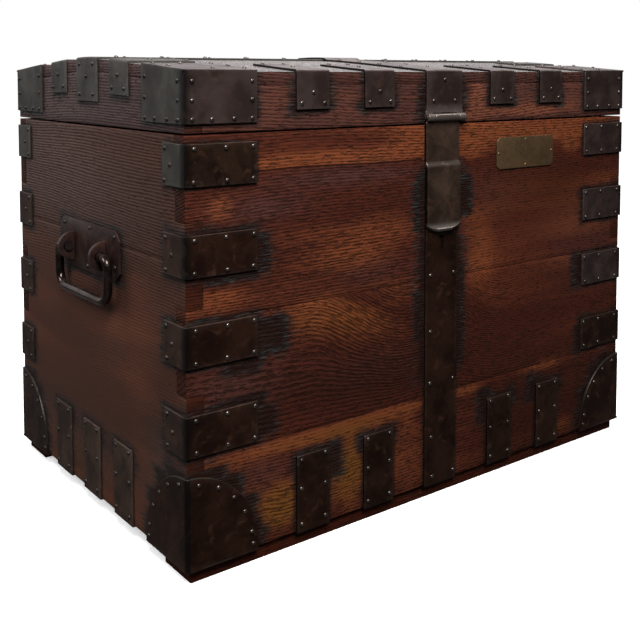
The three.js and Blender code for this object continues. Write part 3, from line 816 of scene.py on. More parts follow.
@dataclass(frozen=True)
class Field:
    """A value that a node gives; sums with it add Math nodes to its sheet."""

    sheet: "Sheet"
    socket: bpy.types.NodeSocket

    def __add__(self, other: Value) -> "Field":
        """The sum."""
        return self.sheet.math("ADD", self, other)

    def __sub__(self, other: Value) -> "Field":
        """The difference."""
        return self.sheet.math("SUBTRACT", self, other)

    def __mul__(self, other: Value) -> "Field":
        """The product."""
        return self.sheet.math("MULTIPLY", self, other)

    def fused(self, factor: Value, more: Value) -> "Field":
        """The product with a factor, and more on top."""
        return self.sheet.math("MULTIPLY_ADD", self, factor, more)

    def ranged(self, low: float, high: float, start: float = 0.0, end: float = 1.0) -> "Field":
        """The value moved smoothly from one range to another."""
        inputs = {"Value": self, "From Min": low, "From Max": high, "To Min": start, "To Max": end}
        return self.sheet.get("ShaderNodeMapRange", inputs, interpolation_type="SMOOTHSTEP")

    def scaled(self, *factors: float) -> "Field":
        """The vector with each part multiplied."""
        return self.sheet.get("ShaderNodeVectorMath", {0: self, 1: factors}, operation="MULTIPLY")

    def noise(self, scale: float = 1.0, detail: float = 2.0, rough: float = 0.5, warp: float = 0.0) -> "Field":
        """A noise value over the vector."""
        inputs = {"Vector": self, "Scale": scale, "Detail": detail, "Roughness": rough, "Distortion": warp}
        return self.sheet.get("ShaderNodeTexNoise", inputs)

    def blend(self, first: Value, second: Value) -> "Field":
        """Two colours mixed by this share of the second."""
        inputs = {0: self, 6: first, 7: second}
        return self.sheet.get("ShaderNodeMix", inputs, 2, data_type="RGBA", blend_type="MIX", clamp_factor=True)


class Sheet:
    """Short hand for building a node tree."""

    def __init__(self, tree: bpy.types.NodeTree) -> None:
        """Keeps the tree."""
        self.tree = tree

    def feed(self, socket: bpy.types.NodeSocket, value: Value) -> None:
        """Links a socket to a field, or sets its own value.

        Args:
            socket: The socket.
            value: A field, or a value to set.
        """
        if isinstance(value, Field):
            self.tree.links.new(value.socket, socket)
        else:
            socket.default_value = (*value, 1.0) if socket.type == "RGBA" else value

    def add(self, kind: str, inputs: dict | None = None, **settings: object) -> bpy.types.Node:
        """Adds a node with settings and inputs by name or number.

        Args:
            kind: Blender's name for the kind of node.
            inputs: What each input is fed.
            **settings: Properties of the node.

        Returns:
            The new node.
        """
        node = self.tree.nodes.new(kind)
        for key, value in settings.items():
            setattr(node, key, value)
        for key, value in (inputs or {}).items():
            self.feed(node.inputs[key], value)
        return node

    def get(self, kind: str, inputs: dict | None = None, output: int | str = 0, **settings: object) -> Field:
        """Adds a node and gives one of its outputs."""
        return Field(self, self.add(kind, inputs, **settings).outputs[output])

    def outputs(self, node: bpy.types.Node) -> dict[str, Field]:
        """Every output of a node by its name."""
        return {socket.name: Field(self, socket) for socket in node.outputs}

    def use(self, tree: bpy.types.NodeTree, inputs: dict) -> dict[str, Field]:
        """Places a group and gives its outputs."""
        return self.outputs(self.add("ShaderNodeGroup", inputs, node_tree=tree))

    def math(self, kind: str, a: Value, b: Value = 0.5, c: Value = 0.5, clamp: bool = False) -> Field:
        """The result of a Math node."""
        return self.get("ShaderNodeMath", {0: a, 1: b, 2: c}, operation=kind, use_clamp=clamp)

    def layer(self, name: str) -> Field:
        """A value that was written on the vertices."""
        return self.get("ShaderNodeAttribute", None, "Fac", attribute_name=name)

    def here(self) -> Field:
        """The place on the object, in metres."""
        return self.get("ShaderNodeTexCoord", None, "Object")

    def bump(self, strength: float, depth: float, height: Field) -> Field:
        """The normal over a height, with a depth in millimetres."""
        return self.get("ShaderNodeBump", {"Strength": strength, "Distance": depth * MM, "Height": height})

    def close(self, *results: Field) -> bpy.types.NodeTree:
        """Gives a group its results, and returns it."""
        self.add("NodeGroupOutput", dict(enumerate(results)))
        return self.tree


def effect(name: str, inputs: dict[str, float], outputs: Sequence[str]) -> tuple[Sheet, dict[str, Field]]:
    """An empty node group over a vector.

    Args:
        name: Name of the group.
        inputs: Start value of each input besides the vector.
        outputs: Name of each output.

    Returns:
        The group's sheet and its inputs.
    """
    tree = bpy.data.node_groups.new(name, "ShaderNodeTree")
    tree.interface.new_socket("Vector", in_out="INPUT", socket_type="NodeSocketVector")
    for label, start in inputs.items():
        tree.interface.new_socket(label, in_out="INPUT", socket_type="NodeSocketFloat").default_value = start
    for label in outputs:
        tree.interface.new_socket(label, in_out="OUTPUT", socket_type="NodeSocketFloat")
    sheet = Sheet(tree)
    return sheet, sheet.outputs(sheet.add("NodeGroupInput"))


def grain_effect() -> bpy.types.NodeTree:
    """Oak grain: rings, open fissures, fibres and broad bands, over a frame of along, depth and across.

    Returns:
        The group.
    """
    inputs = {"Flame": 1.0, "Open": 0.5, "Swell": 0.0}
    sheet, given = effect("Oak grain", inputs, ("Rings", "Fissures", "Fibres", "Bands", "Height"))
    vector = given["Vector"]
    parts = sheet.outputs(sheet.add("ShaderNodeSeparateXYZ", {0: vector}))
    slow = vector.scaled(1.6, 3.0, 4.0).noise(detail=1.0)
    wild = vector.scaled(8.0, 12.0, 16.0).noise(detail=1.0)
    where = vector.scaled(2.3, 2.0, 3.1).noise(detail=0.0).ranged(0.42, 0.62)
    swing = (slow - 0.5) * 0.055
    flame = (wild - 0.5) * where * (given["Flame"] * 0.022)
    bent = parts["Z"] + (swing + flame) + given["Swell"]
    depth = parts["Y"] + swing * 0.4
    warped = sheet.get("ShaderNodeCombineXYZ", {0: parts["X"], 1: depth, 2: bent})
    lines = (bent + depth * 0.35) * 1600.0
    jitter = warped.scaled(9.0, 40.0, 60.0).noise(detail=1.0)
    rings = sheet.math("SINE", jitter.fused(7.0, lines)).fused(0.5, 0.5)
    dashes = warped.scaled(86.0, 460.0, 730.0).noise(detail=2.5, rough=0.55)
    cracks = warped.scaled(56.0, 230.0, 400.0).noise(detail=2.0, rough=0.55)
    level = where.fused(0.02, rings.fused(-0.09, 0.51) + (given["Open"] - 0.5) * 0.2)
    fine = (level - dashes).ranged(0.0, 0.07)
    wide = (level - 0.11 - cracks).ranged(0.0, 0.05)
    fissures = sheet.math("MAXIMUM", fine * 0.8, wide)
    fibres = warped.scaled(70.0, 900.0, 1500.0).noise(detail=3.0, rough=0.7)
    bands = warped.scaled(1.4, 6.0, 12.0).noise(detail=3.0)
    height = rings.fused(0.30, fissures.fused(-1.0, fibres * 0.28))
    return sheet.close(rings, fissures, fibres, bands, height)


def iron_effect() -> bpy.types.NodeTree:
    """Browned wrought iron: mottling, rust, pits and hammered unevenness.

    Returns:
        The group.
    """
    sheet, given = effect("Browned iron", {"Rust": 0.5}, ("Mottle", "Rust", "Height"))
    vector = given["Vector"]
    mottle = vector.noise(26.0, 5.0, 0.62, 0.4)
    patches = vector.noise(60.0, 4.0, 0.6, 0.6)
    pits = vector.noise(620.0, 3.0, 0.7)
    rust = (patches + (given["Rust"] - 0.5) * 0.4).ranged(0.48, 0.68)
    height = vector.noise(95.0) * 0.7 + pits * 0.3
    return sheet.close(mottle, rust, height)


def edge_effect() -> bpy.types.NodeTree:
    """A mask of worn, outward edges, broken up by noise.

    Returns:
        The group.
    """
    sheet, given = effect("Edge wear", {"Amount": 0.5}, ("Mask",))
    point = sheet.get("ShaderNodeNewGeometry", None, "Pointiness")
    ragged = given["Vector"].noise(180.0, 3.0, 0.6)
    mask = (point + ragged * 0.06).ranged(0.55, 0.63)
    return sheet.close(sheet.math("MULTIPLY", mask, given["Amount"], clamp=True))


@dataclass(frozen=True)
class Effects:
    """The shared effects, built once."""

    grain: bpy.types.NodeTree = field(default_factory=grain_effect)
    iron: bpy.types.NodeTree = field(default_factory=iron_effect)
    edge: bpy.types.NodeTree = field(default_factory=edge_effect)


@dataclass(frozen=True)
class Recipe:
    """A finish: its name, a material slot name and what feeds its shader."""

    SLOT: ClassVar[str] = "iron"

    name: str

    def build(self, effects: Effects) -> bpy.types.Material:
        """The material.

        Args:
            effects: The shared effects.

        Returns:
            The new material.
        """
        material = bpy.data.materials.new(self.name)
        material.use_nodes = True
        sheet = Sheet(material.node_tree)
        shader = material.node_tree.nodes["Principled BSDF"]
        for key, value in self.mix(sheet, effects).items():
            sheet.feed(shader.inputs[key], value)
        return material

    def mix(self, sheet: Sheet, effects: Effects) -> dict[str, Value]:
        """What goes into the shader, by the names of its sockets."""
        raise NotImplementedError


class GrainWay(Enum):
    """How a board lies: which of X, Y and Z run along, into the depth and across."""

    LONG_WALL = "XYZ"
    END_WALL = "YXZ"
    TOP = "XZY"


@dataclass(frozen=True)
class OakFinish(Recipe):
    """Old oak, waxed and dark, with open fissures and blue-black marks round the iron."""

    SLOT: ClassVar[str] = "oak"

    way: GrainWay = GrainWay.LONG_WALL
    shade: Colour = (0.031, 0.0076, 0.0048)
    body: Colour = (0.068, 0.0168, 0.0095)
    glow: Colour = (0.155, 0.0430, 0.0165)
    stain: Colour = (0.026, 0.034, 0.034)
    mould: Colour = (0.0040, 0.0054, 0.0056)
    amber: Colour = (0.125, 0.0480, 0.0105)
    grime: Colour = (0.0125, 0.0036, 0.0020)
    glow_low: float = 0.56
    glow_high: float = 0.80
    flame: float = 1.0
    open: float = 0.5
    depth: float = 0.9
    rough: float = 0.46
    gloss: float = 0.07
    vein: bool = False
    lines: float = 0.36
    # Grey sheen: a painted reflection of the bright surround, laid over the wood's colour.
    veil: Colour = (0.070, 0.050, 0.046)
    shift: tuple[float, float, float] = (0.0, 0.0, 0.0)

    def mix(self, sheet: Sheet, effects: Effects) -> dict[str, Value]:
        """Grain, warm patches, a grey painted sheen, stains, painted shade patches, wear and open fissures, in that
        order.

        Args:
            sheet: The material's sheet.
            effects: The shared effects.

        Returns:
            What goes into the shader, by the names of its sockets.
        """
        parts = sheet.outputs(sheet.add("ShaderNodeSeparateXYZ", {0: sheet.here()}))
        order = [parts[axis] + move for axis, move in zip(self.way.value, self.shift)]
        frame = sheet.get("ShaderNodeCombineXYZ", dict(enumerate(order)))
        kept = {name: sheet.layer(name) for name in Boards.LAYERS}
        calm = kept["calm"]
        plain = calm.fused(-0.78, 1.0)
        openness = calm.fused(-0.6, self.open)
        inputs = {"Vector": frame, "Flame": self.flame, "Open": openness, "Swell": kept["swell"]}
        grain = sheet.use(effects.grain, inputs)
        fibres, bands, fissures = grain["Fibres"], grain["Bands"], grain["Fissures"]
        colour = (bands + fibres * 0.22).ranged(0.22, 0.80).blend(self.shade, self.body)
        warmth = kept["glow"]
        if self.vein:
            warmth = warmth * self.above_vein(sheet, kept["vein"])
        warm = fibres.fused(0.12, bands + warmth * 0.30).ranged(self.glow_low, self.glow_high)
        colour = warm.blend(colour, kept["amber"].blend(self.glow, self.amber))
        # Painted reflection: the grey sheen patches lighten and grey the wood.
        colour = (kept["veil"] * fibres.ranged(0.2, 0.7)).blend(colour, self.veil)
        colour = (grain["Rings"].ranged(0.0, 0.9, self.lines, 0.0) * plain).blend(colour, self.shade)
        if self.vein:
            edge = sheet.math("ABSOLUTE", kept["vein"] - Boards.VEIN_AWAY)
            colour = edge.ranged(0.3, 1.3, 0.8, 0.0).blend(colour, self.grime)
        ragged = frame.scaled(26.0, 120.0, 190.0).noise(detail=4.0, rough=0.6)
        mark = (kept["stain"] + (ragged - 0.5) * 1.1).ranged(0.16, 0.86)
        fleck = frame.scaled(60.0, 300.0, 620.0).noise(detail=3.0, rough=0.6)
        colour = (mark * 0.93).blend(colour, fleck.ranged(0.46, 0.62).blend(self.mould, self.stain))
        colour = (kept["grime"] * 0.8).blend(colour, self.grime)
        colour = kept["shadow"].blend(colour, tuple(0.4 * part for part in self.shade))
        worn = sheet.use(effects.edge, {"Vector": frame, "Amount": 0.12})["Mask"]
        colour = worn.blend(colour, self.glow)
        colour = (fissures * 0.8).blend(colour, self.grime)
        rough = fissures.fused(0.35, fibres.fused(0.20, self.rough - 0.10))
        bump = sheet.bump(0.9, self.depth, (grain["Rings"] * calm).fused(-0.22, grain["Height"]))
        return {"Base Color": colour, "Roughness": rough, "Normal": bump, "Specular IOR Level": self.gloss}

    @staticmethod
    def above_vein(sheet: Sheet, vein: Field) -> Field:
        """How much of the warm patches is kept: none just below the vein, all elsewhere.

        Args:
            sheet: The material's sheet.
            vein: Height over the vein.

        Returns:
            The share that is kept.
        """
        below = vein.ranged(Boards.VEIN_AWAY - 0.6, Boards.VEIN_AWAY + 0.6, 1.0, 0.0)
        near = vein.ranged(Boards.VEIN_AWAY - 45.0, Boards.VEIN_AWAY - 20.0)
        return sheet.math("SUBTRACT", 1.0, below * near, clamp=True)


@dataclass(frozen=True)
class IronFinish(Recipe):
    """Browned wrought iron, nearly black."""

    dark: Colour = (0.0105, 0.0044, 0.0026)
    light: Colour = (0.038, 0.0200, 0.0128)
    rust: Colour = (0.038, 0.0150, 0.0070)
    bright: Colour = (0.22, 0.19, 0.175)
    # Near-black colour of the painted shade in folds and on side faces.
    fold_shade: Colour = (0.0040, 0.0030, 0.0028)
    rust_share: float = 0.42
    metal: float = 0.65
    rough: float = 0.48
    gloss: float = 0.2
    wear: float = 0.12
    depth: float = 0.35

    def mix(self, sheet: Sheet, effects: Effects) -> dict[str, Value]:
        """Mottled brown with rust, bright worn edges, painted highlights, and painted shade in the folds and on the
        sides.

        Args:
            sheet: The material's sheet.
            effects: The shared effects.

        Returns:
            What goes into the shader, by the names of its sockets.
        """
        vector = sheet.here()
        skin = sheet.use(effects.iron, {"Vector": vector, "Rust": self.rust_share})
        mottle, rust = skin["Mottle"], skin["Rust"]
        colour = mottle.ranged(0.35, 0.68).blend(self.dark, self.light)
        colour = (rust * 0.7).blend(colour, self.rust)
        worn = sheet.use(effects.edge, {"Vector": vector, "Amount": self.wear})["Mask"]
        colour = worn.blend(colour, self.bright)
        # Painted shade: folds and side faces turn nearly black.
        colour = (sheet.layer("fold") * 0.88).blend(colour, self.fold_shade)
        # Painted highlight: places marked as lit, such as the hasp's upturned lip, lighten to the bright colour.
        colour = (sheet.layer("rubbed") * 0.85).blend(colour, self.bright)
        rough = worn.fused(-0.2, rust.fused(0.18, mottle.fused(-0.30, self.rough + 0.15)))
        return {
            "Base Color": colour,
            "Roughness": rough,
            "Metallic": rust.fused(-0.35, self.metal),
            "Normal": sheet.bump(0.7, self.depth, skin["Height"]),
            "Specular IOR Level": self.gloss,
        }


@dataclass(frozen=True)
class BrassFinish(Recipe):
    """Dull brass with brown tarnish."""

    SLOT: ClassVar[str] = "brass"

    clean: Colour = (0.172, 0.096, 0.048)
    tarnish: Colour = (0.076, 0.042, 0.022)
    bright: Colour = (0.36, 0.26, 0.13)

    def mix(self, sheet: Sheet, effects: Effects) -> dict[str, Value]:
        """Tarnish with fine scratches and bright edges.

        Args:
            sheet: The material's sheet.
            effects: The shared effects.

        Returns:
            What goes into the shader, by the names of its sockets.
        """
        vector = sheet.here()
        mottle = sheet.use(effects.iron, {"Vector": vector, "Rust": 0.4})["Mottle"]
        scratch = vector.scaled(60.0, 200.0, 1400.0).noise(detail=3.0, rough=0.7)
        colour = mottle.ranged(0.3, 0.7).blend(self.tarnish, self.clean)
        colour = scratch.ranged(0.55, 0.75, 0.0, 0.4).blend(colour, self.clean)
        worn = sheet.use(effects.edge, {"Vector": vector, "Amount": 0.4})["Mask"]
        return {
            "Base Color": worn.blend(colour, self.bright),
            "Roughness": mottle.fused(-0.2, 0.56),
            "Normal": sheet.bump(0.4, 0.2, scratch),
            "Metallic": 0.8,
        }


@dataclass(frozen=True)
class BaizeFinish(Recipe):
    """Green woollen baize with a short nap."""

    SLOT: ClassVar[str] = "baize"

    nap: Colour = (0.017, 0.055, 0.029)
    shade: Colour = (0.009, 0.027, 0.015)

    def mix(self, sheet: Sheet, effects: Effects) -> dict[str, Value]:
        """A fuzzy cloth with broad, soft changes of tone.

        Args:
            sheet: The material's sheet.
            effects: The shared effects, not used here.

        Returns:
            What goes into the shader, by the names of its sockets.
        """
        vector = sheet.here()
        broad, fuzz = vector.noise(9.0, 3.0, 0.6), vector.noise(1500.0, 4.0, 0.7)
        return {
            "Base Color": fuzz.fused(0.5, broad * 0.6).ranged(0.35, 0.75).blend(self.shade, self.nap),
            "Normal": sheet.bump(0.6, 0.6, fuzz),
            "Roughness": 0.95,
            "Sheen Weight": 0.5,
            "Sheen Roughness": 0.5,
            "Specular IOR Level": 0.2,
        }


class Finish(Enum):
    """Every finish of the chest."""

    FRONT = OakFinish(
        "Oak of the front", flame=0.8, open=0.55, vein=True, lines=0.20, veil=(0.062, 0.0290, 0.0260),
        shift=(0.31, 0.0, 0.055),
    )
    BACK = OakFinish("Oak of the back", shift=(3.1, 0.4, 1.7))
    END = OakFinish(
        "Oak of the ends", GrainWay.END_WALL, shade=(0.031, 0.0118, 0.0072), body=(0.062, 0.0225, 0.0130),
        glow=(0.100, 0.0330, 0.0165), veil=(0.092, 0.0650, 0.0570), flame=0.5, open=0.22, rough=0.56,
        gloss=0.15, lines=0.8, shift=(1.3, 0.2, 0.9),
    )
    LID = OakFinish(
        "Oak of the lid rails", shade=(0.034, 0.0135, 0.0112), body=(0.072, 0.0285, 0.0222),
        glow=(0.142, 0.0470, 0.0270), flame=0.35, open=0.46, shift=(5.2, 0.1, 2.3),
    )
    LID_END = OakFinish(
        "Oak of the lid ends", GrainWay.END_WALL, shade=(0.034, 0.0175, 0.0165), body=(0.065, 0.0335, 0.0315),
        glow=(0.091, 0.0410, 0.0310), flame=0.3, open=0.30, gloss=0.2, lines=0.6, shift=(2.2, 0.7, 3.3),
    )
    # Greyer and lighter than the walls: dust, and a painted reflection of the bright backdrop at a glancing angle.
    TOP = OakFinish(
        "Oak of the lid top", GrainWay.TOP, shade=(0.042, 0.031, 0.028), body=(0.078, 0.058, 0.052),
        glow=(0.115, 0.075, 0.060), flame=0.6, rough=0.40, gloss=0.6, shift=(7.1, 0.3, 1.2),
    )
    SKID = OakFinish(
        "Oak of the skids", shade=(0.026, 0.0062, 0.0032), body=(0.060, 0.0125, 0.0055),
        glow=(0.090, 0.0190, 0.0075), shift=(4.4, 0.3, 0.2),
    )
    IRON = IronFinish("Browned iron")
    FOOT_IRON = IronFinish("Dark iron", (0.0125, 0.0044, 0.0026), (0.034, 0.0145, 0.0085), rust_share=0.36)
    LID_IRON = IronFinish("Rubbed iron", (0.033, 0.0205, 0.0190), (0.074, 0.051, 0.047), rust_share=0.30)
    # The next three are lit copies of the browned iron for faces that look to the ends or up: lighter and greyer, a
    # painted reflection of the bright surround.
    END_IRON = IronFinish(
        "Iron of the ends", (0.017, 0.0090, 0.0068), (0.042, 0.0230, 0.0172), metal=0.5, rough=0.55
    )
    END_FOOT_IRON = IronFinish(
        "Iron of the end feet", (0.026, 0.0155, 0.0110), (0.066, 0.0390, 0.0280), metal=0.5, rough=0.55
    )
    PALE_IRON = IronFinish(
        "Greyed iron", (0.029, 0.0275, 0.0240), (0.055, 0.0520, 0.0460), rust_share=0.3, metal=0.4, rough=0.6
    )
    POLISHED = IronFinish(
        "Handled iron", (0.050, 0.030, 0.021), (0.125, 0.080, 0.060), metal=0.75, rough=0.32, wear=0.2,
        rust_share=0.38,
    )
    PLATE_IRON = IronFinish(
        "Iron of the handle plates", (0.0225, 0.0102, 0.0088), (0.052, 0.0280, 0.0245), rough=0.42
    )
    BAIL = IronFinish(
        "Iron of the bails", (0.026, 0.0165, 0.0145), (0.078, 0.055, 0.050), metal=0.9, rough=0.18, wear=0.25
    )
    # Rivet heads lighter than the straps, so that the domes read as lit dots: a painted highlight.
    RIVET = IronFinish(
        "Rivet iron", (0.040, 0.032, 0.028), (0.105, 0.088, 0.080), metal=0.85, rough=0.30, rust_share=0.3,
        depth=0.15,
    )
    # A near-black copy for rivets on the ends and the foot brackets' level faces: painted shade.
    DULL_RIVET = IronFinish(
        "Dull rivet iron", (0.0060, 0.0055, 0.0050), (0.020, 0.018, 0.016), metal=0.6, rough=0.40, depth=0.15
    )
    STEEL = IronFinish(
        "Lock steel", (0.14, 0.13, 0.12), (0.30, 0.29, 0.27), metal=0.9, rough=0.32, rust_share=0.2
    )
    BRASS = BrassFinish("Dull brass")
    BAIZE = BaizeFinish("Green baize")


# Wood


STAIN_HALF = 25.0
Rows = tuple[tuple[float, ...], ...]
Patches = dict[str, Rows]


@dataclass(frozen=True)
class Mark:
    """Iron on a face that stains the wood round it: its extent along and up the face, and its reach."""

    left: float
    right: float
    low: float
    high: float
    reach_along: float = 17.0
    reach_up: float = 7.0
    strength: float = 0.85

    @classmethod
    def pair(cls, low: float, high: float, leg: float, *rest: float) -> list["Mark"]:
        """Marks of two like irons that reach in from both ends of a wall."""
        return [cls(low, low + leg, *rest), cls(high - leg, high, *rest)]

    @classmethod
    def straps(cls, centres: Iterable[float], *rest: float, half: float = STAIN_HALF) -> list["Mark"]:
        """Marks of straps set at places along a wall."""
        return [cls(c - half, c + half, *rest) for c in centres]

    def gaps(self, u: Array, v: Array) -> tuple[Array, Array]:
        """How far places lie from the iron, along and up the face."""
        along = np.maximum(np.maximum(self.left - u, u - self.right), 0)
        return along, np.maximum(np.maximum(self.low - v, v - self.high), 0)

    def stain(self, u: Array, v: Array, blur: Array | float = 1.0) -> Array:
        """How dark the iron makes places on the face.

        Args:
            u: Places along the face.
            v: Places up the face.
            blur: Factor that makes the rim uneven.

        Returns:
            The darkness at each place.
        """
        du, dv = self.gaps(u, v)
        gap = np.hypot(du / self.reach_along, dv / self.reach_up) * blur
        return self.strength * np.exp(-(gap**1.6))


@dataclass(frozen=True)
class Patch:
    """A soft patch on a face, such as a warm place: its centre along and up, its spread and strength."""

    u: float
    v: float
    wide: float
    tall: float
    strength: float

    def at(self, u: Array, v: Array) -> Array:
        """How strong the patch is at places on the face."""
        return self.strength * np.exp(-(((u - self.u) / self.wide) ** 2) - ((v - self.v) / self.tall) ** 2)


@dataclass(frozen=True)
class Fall:
    """A place where the grain falls along a wall: where it starts and ends, its drop, and its heights."""

    along: Pair
    drop: float
    up: Pair
    spread: float

    def bend(self, u: Array, v: Array) -> Array:
        """How far the grain lies above its level.

        Args:
            u: Places along the face.
            v: Places up the face.

        Returns:
            The distance at each place.
        """
        share = np.clip((u - self.along[0]) / (self.along[1] - self.along[0]), 0, 1)
        share = 0.5 - share * share * (3 - 2 * share)
        inside = (v > self.up[0]) & (v < self.up[1])
        return self.drop * share * np.exp(-(((v - self.up[1]) / self.spread) ** 2)) * inside


@dataclass
class Boards:
    """A wall of boards on a grid, with fine grooves between them and stains round the iron.

    Attributes:
        place: Turns distance in, height and place along into chest millimetres.
        along: Where the wall starts and ends.
        up: Heights of its lower edge, the grooves between boards and its upper edge.
        thickness: Thickness of the boards.
        keep: Tells whether a cell, given by its middle, is wood.
        breaks: Places along that need a line of the grid.
        levels: Heights that need a line of the grid.
        step: Spacing of the grid.
        marks: Iron that stains the wood.
        patches: Rows of soft patches by kind: glow and amber are warm, the grey sheen patches are a painted
            reflection, shadow is painted shade, calm smooth.
        falls: Places where the grain falls along the wall.
        vein: Points along a dark line under a warm band.
        soft: Rounding of the edges.
        seed: Seed of the unevenness.
        lift: A last change to every point.
    """

    GROOVE: ClassVar[float] = 0.12
    CUP: ClassVar[float] = 0.22
    CUP_SIZE: ClassVar[float] = 90.0
    GRIME_REACH: ClassVar[float] = 2.2
    BLOTCH_SIZE: ClassVar[float] = 26.0
    SPECK_SIZE: ClassVar[float] = 9.0
    RAGGED: ClassVar[float] = 0.55
    RAGGED_RANGE: ClassVar[Pair] = (0.35, 2)
    JOINT: ClassVar[float] = 0.95
    VEIN_AWAY: ClassVar[float] = 1000.0
    PATCHED: ClassVar[dict[str, Pair]] = {
        "glow": (0.0, 1.3),
        "veil": (0.0, 1.0),
        "shadow": (0.0, 1.0),
        "calm": (-0.6, 1.0),
        "amber": (0.0, 1.0),
    }
    LAYERS: ClassVar[tuple[str, ...]] = ("stain", "grime", "swell", "vein", *PATCHED)

    place: Callable[[Array, Array, Array], Array]
    along: Pair
    up: tuple[float, ...]
    thickness: float = S.wall
    keep: Callable[[float, float], bool] = lambda a, h: True
    breaks: tuple[float, ...] = ()
    levels: tuple[float, ...] = ()
    step: float = 7.0
    marks: Sequence[Mark] = ()
    patches: Patches = field(default_factory=dict)
    falls: tuple[Fall, ...] = ()
    vein: tuple[Pair, ...] = ()
    soft: float = 0.8
    seed: float = 0.0
    lift: Callable[[Array], Array] = lambda points: points

    def lines(self, places: Sequence[float]) -> Array:
        """Grid lines through the given places with even steps between them.

        Args:
            places: Places that need a line.

        Returns:
            Where the lines are.
        """
        out = [places[0]]
        for a, b in zip(places, places[1:]):
            count = max(1, round((b - a) / self.step))
            out += [a + (b - a) * (i + 1) / count for i in range(count)]
        return np.array(out)

    def board(self, bench: Bench, low: float, high: float) -> Mesh:
        """One board of the wall with rounded edges.

        Args:
            bench: The bench that places it.
            low: Height of its lower edge.
            high: Height of its upper edge.

        Returns:
            The new geometry.
        """
        low, high = low + self.GROOVE, high - self.GROOVE
        us = self.lines(sorted({self.along[0], *self.breaks, self.along[1]}))
        vs = self.lines(sorted({low, high, *(v for v in self.levels if low + 1 < v < high - 1)}))
        grid_u, grid_v = np.meshgrid(us, vs, indexing="ij")
        u, v = grid_u.ravel(), grid_v.ravel()
        cup = self.CUP * wavering(stacked(u, v, 0), self.CUP_SIZE, self.seed + low)
        back = np.full_like(u, self.thickness)
        points = self.lift(np.concatenate([self.place(cup, v, u), self.place(back, v, u)]))
        index, count = np.arange(len(u)).reshape(grid_u.shape), len(u)
        middle_u, middle_v = (us[:-1] + us[1:]) / 2, (vs[:-1] + vs[1:]) / 2
        cells = np.array([[self.keep(a, h) for h in middle_v] for a in middle_u])
        rows, columns = cells.shape
        faces = []
        for i, j in np.argwhere(cells):
            a, b, c, d = index[i, j], index[i + 1, j], index[i + 1, j + 1], index[i, j + 1]
            faces += [(a, b, c, d), (d + count, c + count, b + count, a + count)]
            for p, q, m, n in ((a, b, i, j - 1), (b, c, i + 1, j), (c, d, i, j + 1), (d, a, i - 1, j)):
                if not (0 <= m < rows and 0 <= n < columns) or not cells[m, n]:
                    faces.append((q, p, p + count, q + count))
        mesh = solid(bench.rowed(points), faces)
        for corner in [w for w in mesh.verts if not w.link_faces]:
            mesh.verts.remove(corner)
        bmesh.ops.recalc_face_normals(mesh, faces=mesh.faces)
        return bench.bevelled(mesh, self.soft)

    def piece(self, bench: Bench, name: str, finish: Finish, body: str, node: str) -> Thing:
        """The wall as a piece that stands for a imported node."""
        mesh = merged(self.board(bench, a, b) for a, b in zip(self.up, self.up[1:]))
        return bench.piece(name, mesh, finish, body, [node], 40.0)

    def shade(self, thing: Thing, bench: Bench, axis: int) -> None:
        """Writes what the finish reads on each vertex.

        Args:
            thing: The wall's object.
            bench: The bench that placed it.
            axis: The axis that the wall runs along.
        """
        points = bench.measured(thing)
        u, v = points[:, axis], points[:, 2]
        blotch = wavering(points, self.BLOTCH_SIZE, self.seed + 4.0)
        blotch += 0.5 * wavering(points, self.SPECK_SIZE, self.seed + 6.0)
        blur = np.clip(1 + self.RAGGED * blotch, *self.RAGGED_RANGE)
        near = np.min([np.hypot(*mark.gaps(u, v)) for mark in self.marks], axis=0)
        rim = np.minimum(u - self.along[0], self.along[1] - u)
        vein = np.full(len(u), self.VEIN_AWAY + 90.0)
        if self.vein:
            line = np.array(self.vein)
            inside = (u > line[0, 0]) & (u < line[-1, 0])
            vein = np.where(inside, self.VEIN_AWAY + v - np.interp(u, line[:, 0], line[:, 1]), vein)
        none = np.zeros(len(u))
        values = {
            "stain": np.max([mark.stain(u, v, blur) for mark in self.marks], axis=0),
            "grime": np.maximum(0.9 * np.exp(-((near / self.GRIME_REACH) ** 2)), 0.8 * (rim < self.JOINT * self.soft)),
            "swell": -MM * sum((fall.bend(u, v) for fall in self.falls), none),
            "vein": vein,
        }
        for name, (low, high) in self.PATCHED.items():
            total = sum((Patch(*row).at(u, v) for row in self.patches.get(name, ())), none)
            values[name] = np.clip(total, low, high)
        for name in self.LAYERS:
            bench.note(thing, name, values[name])


# Carcase


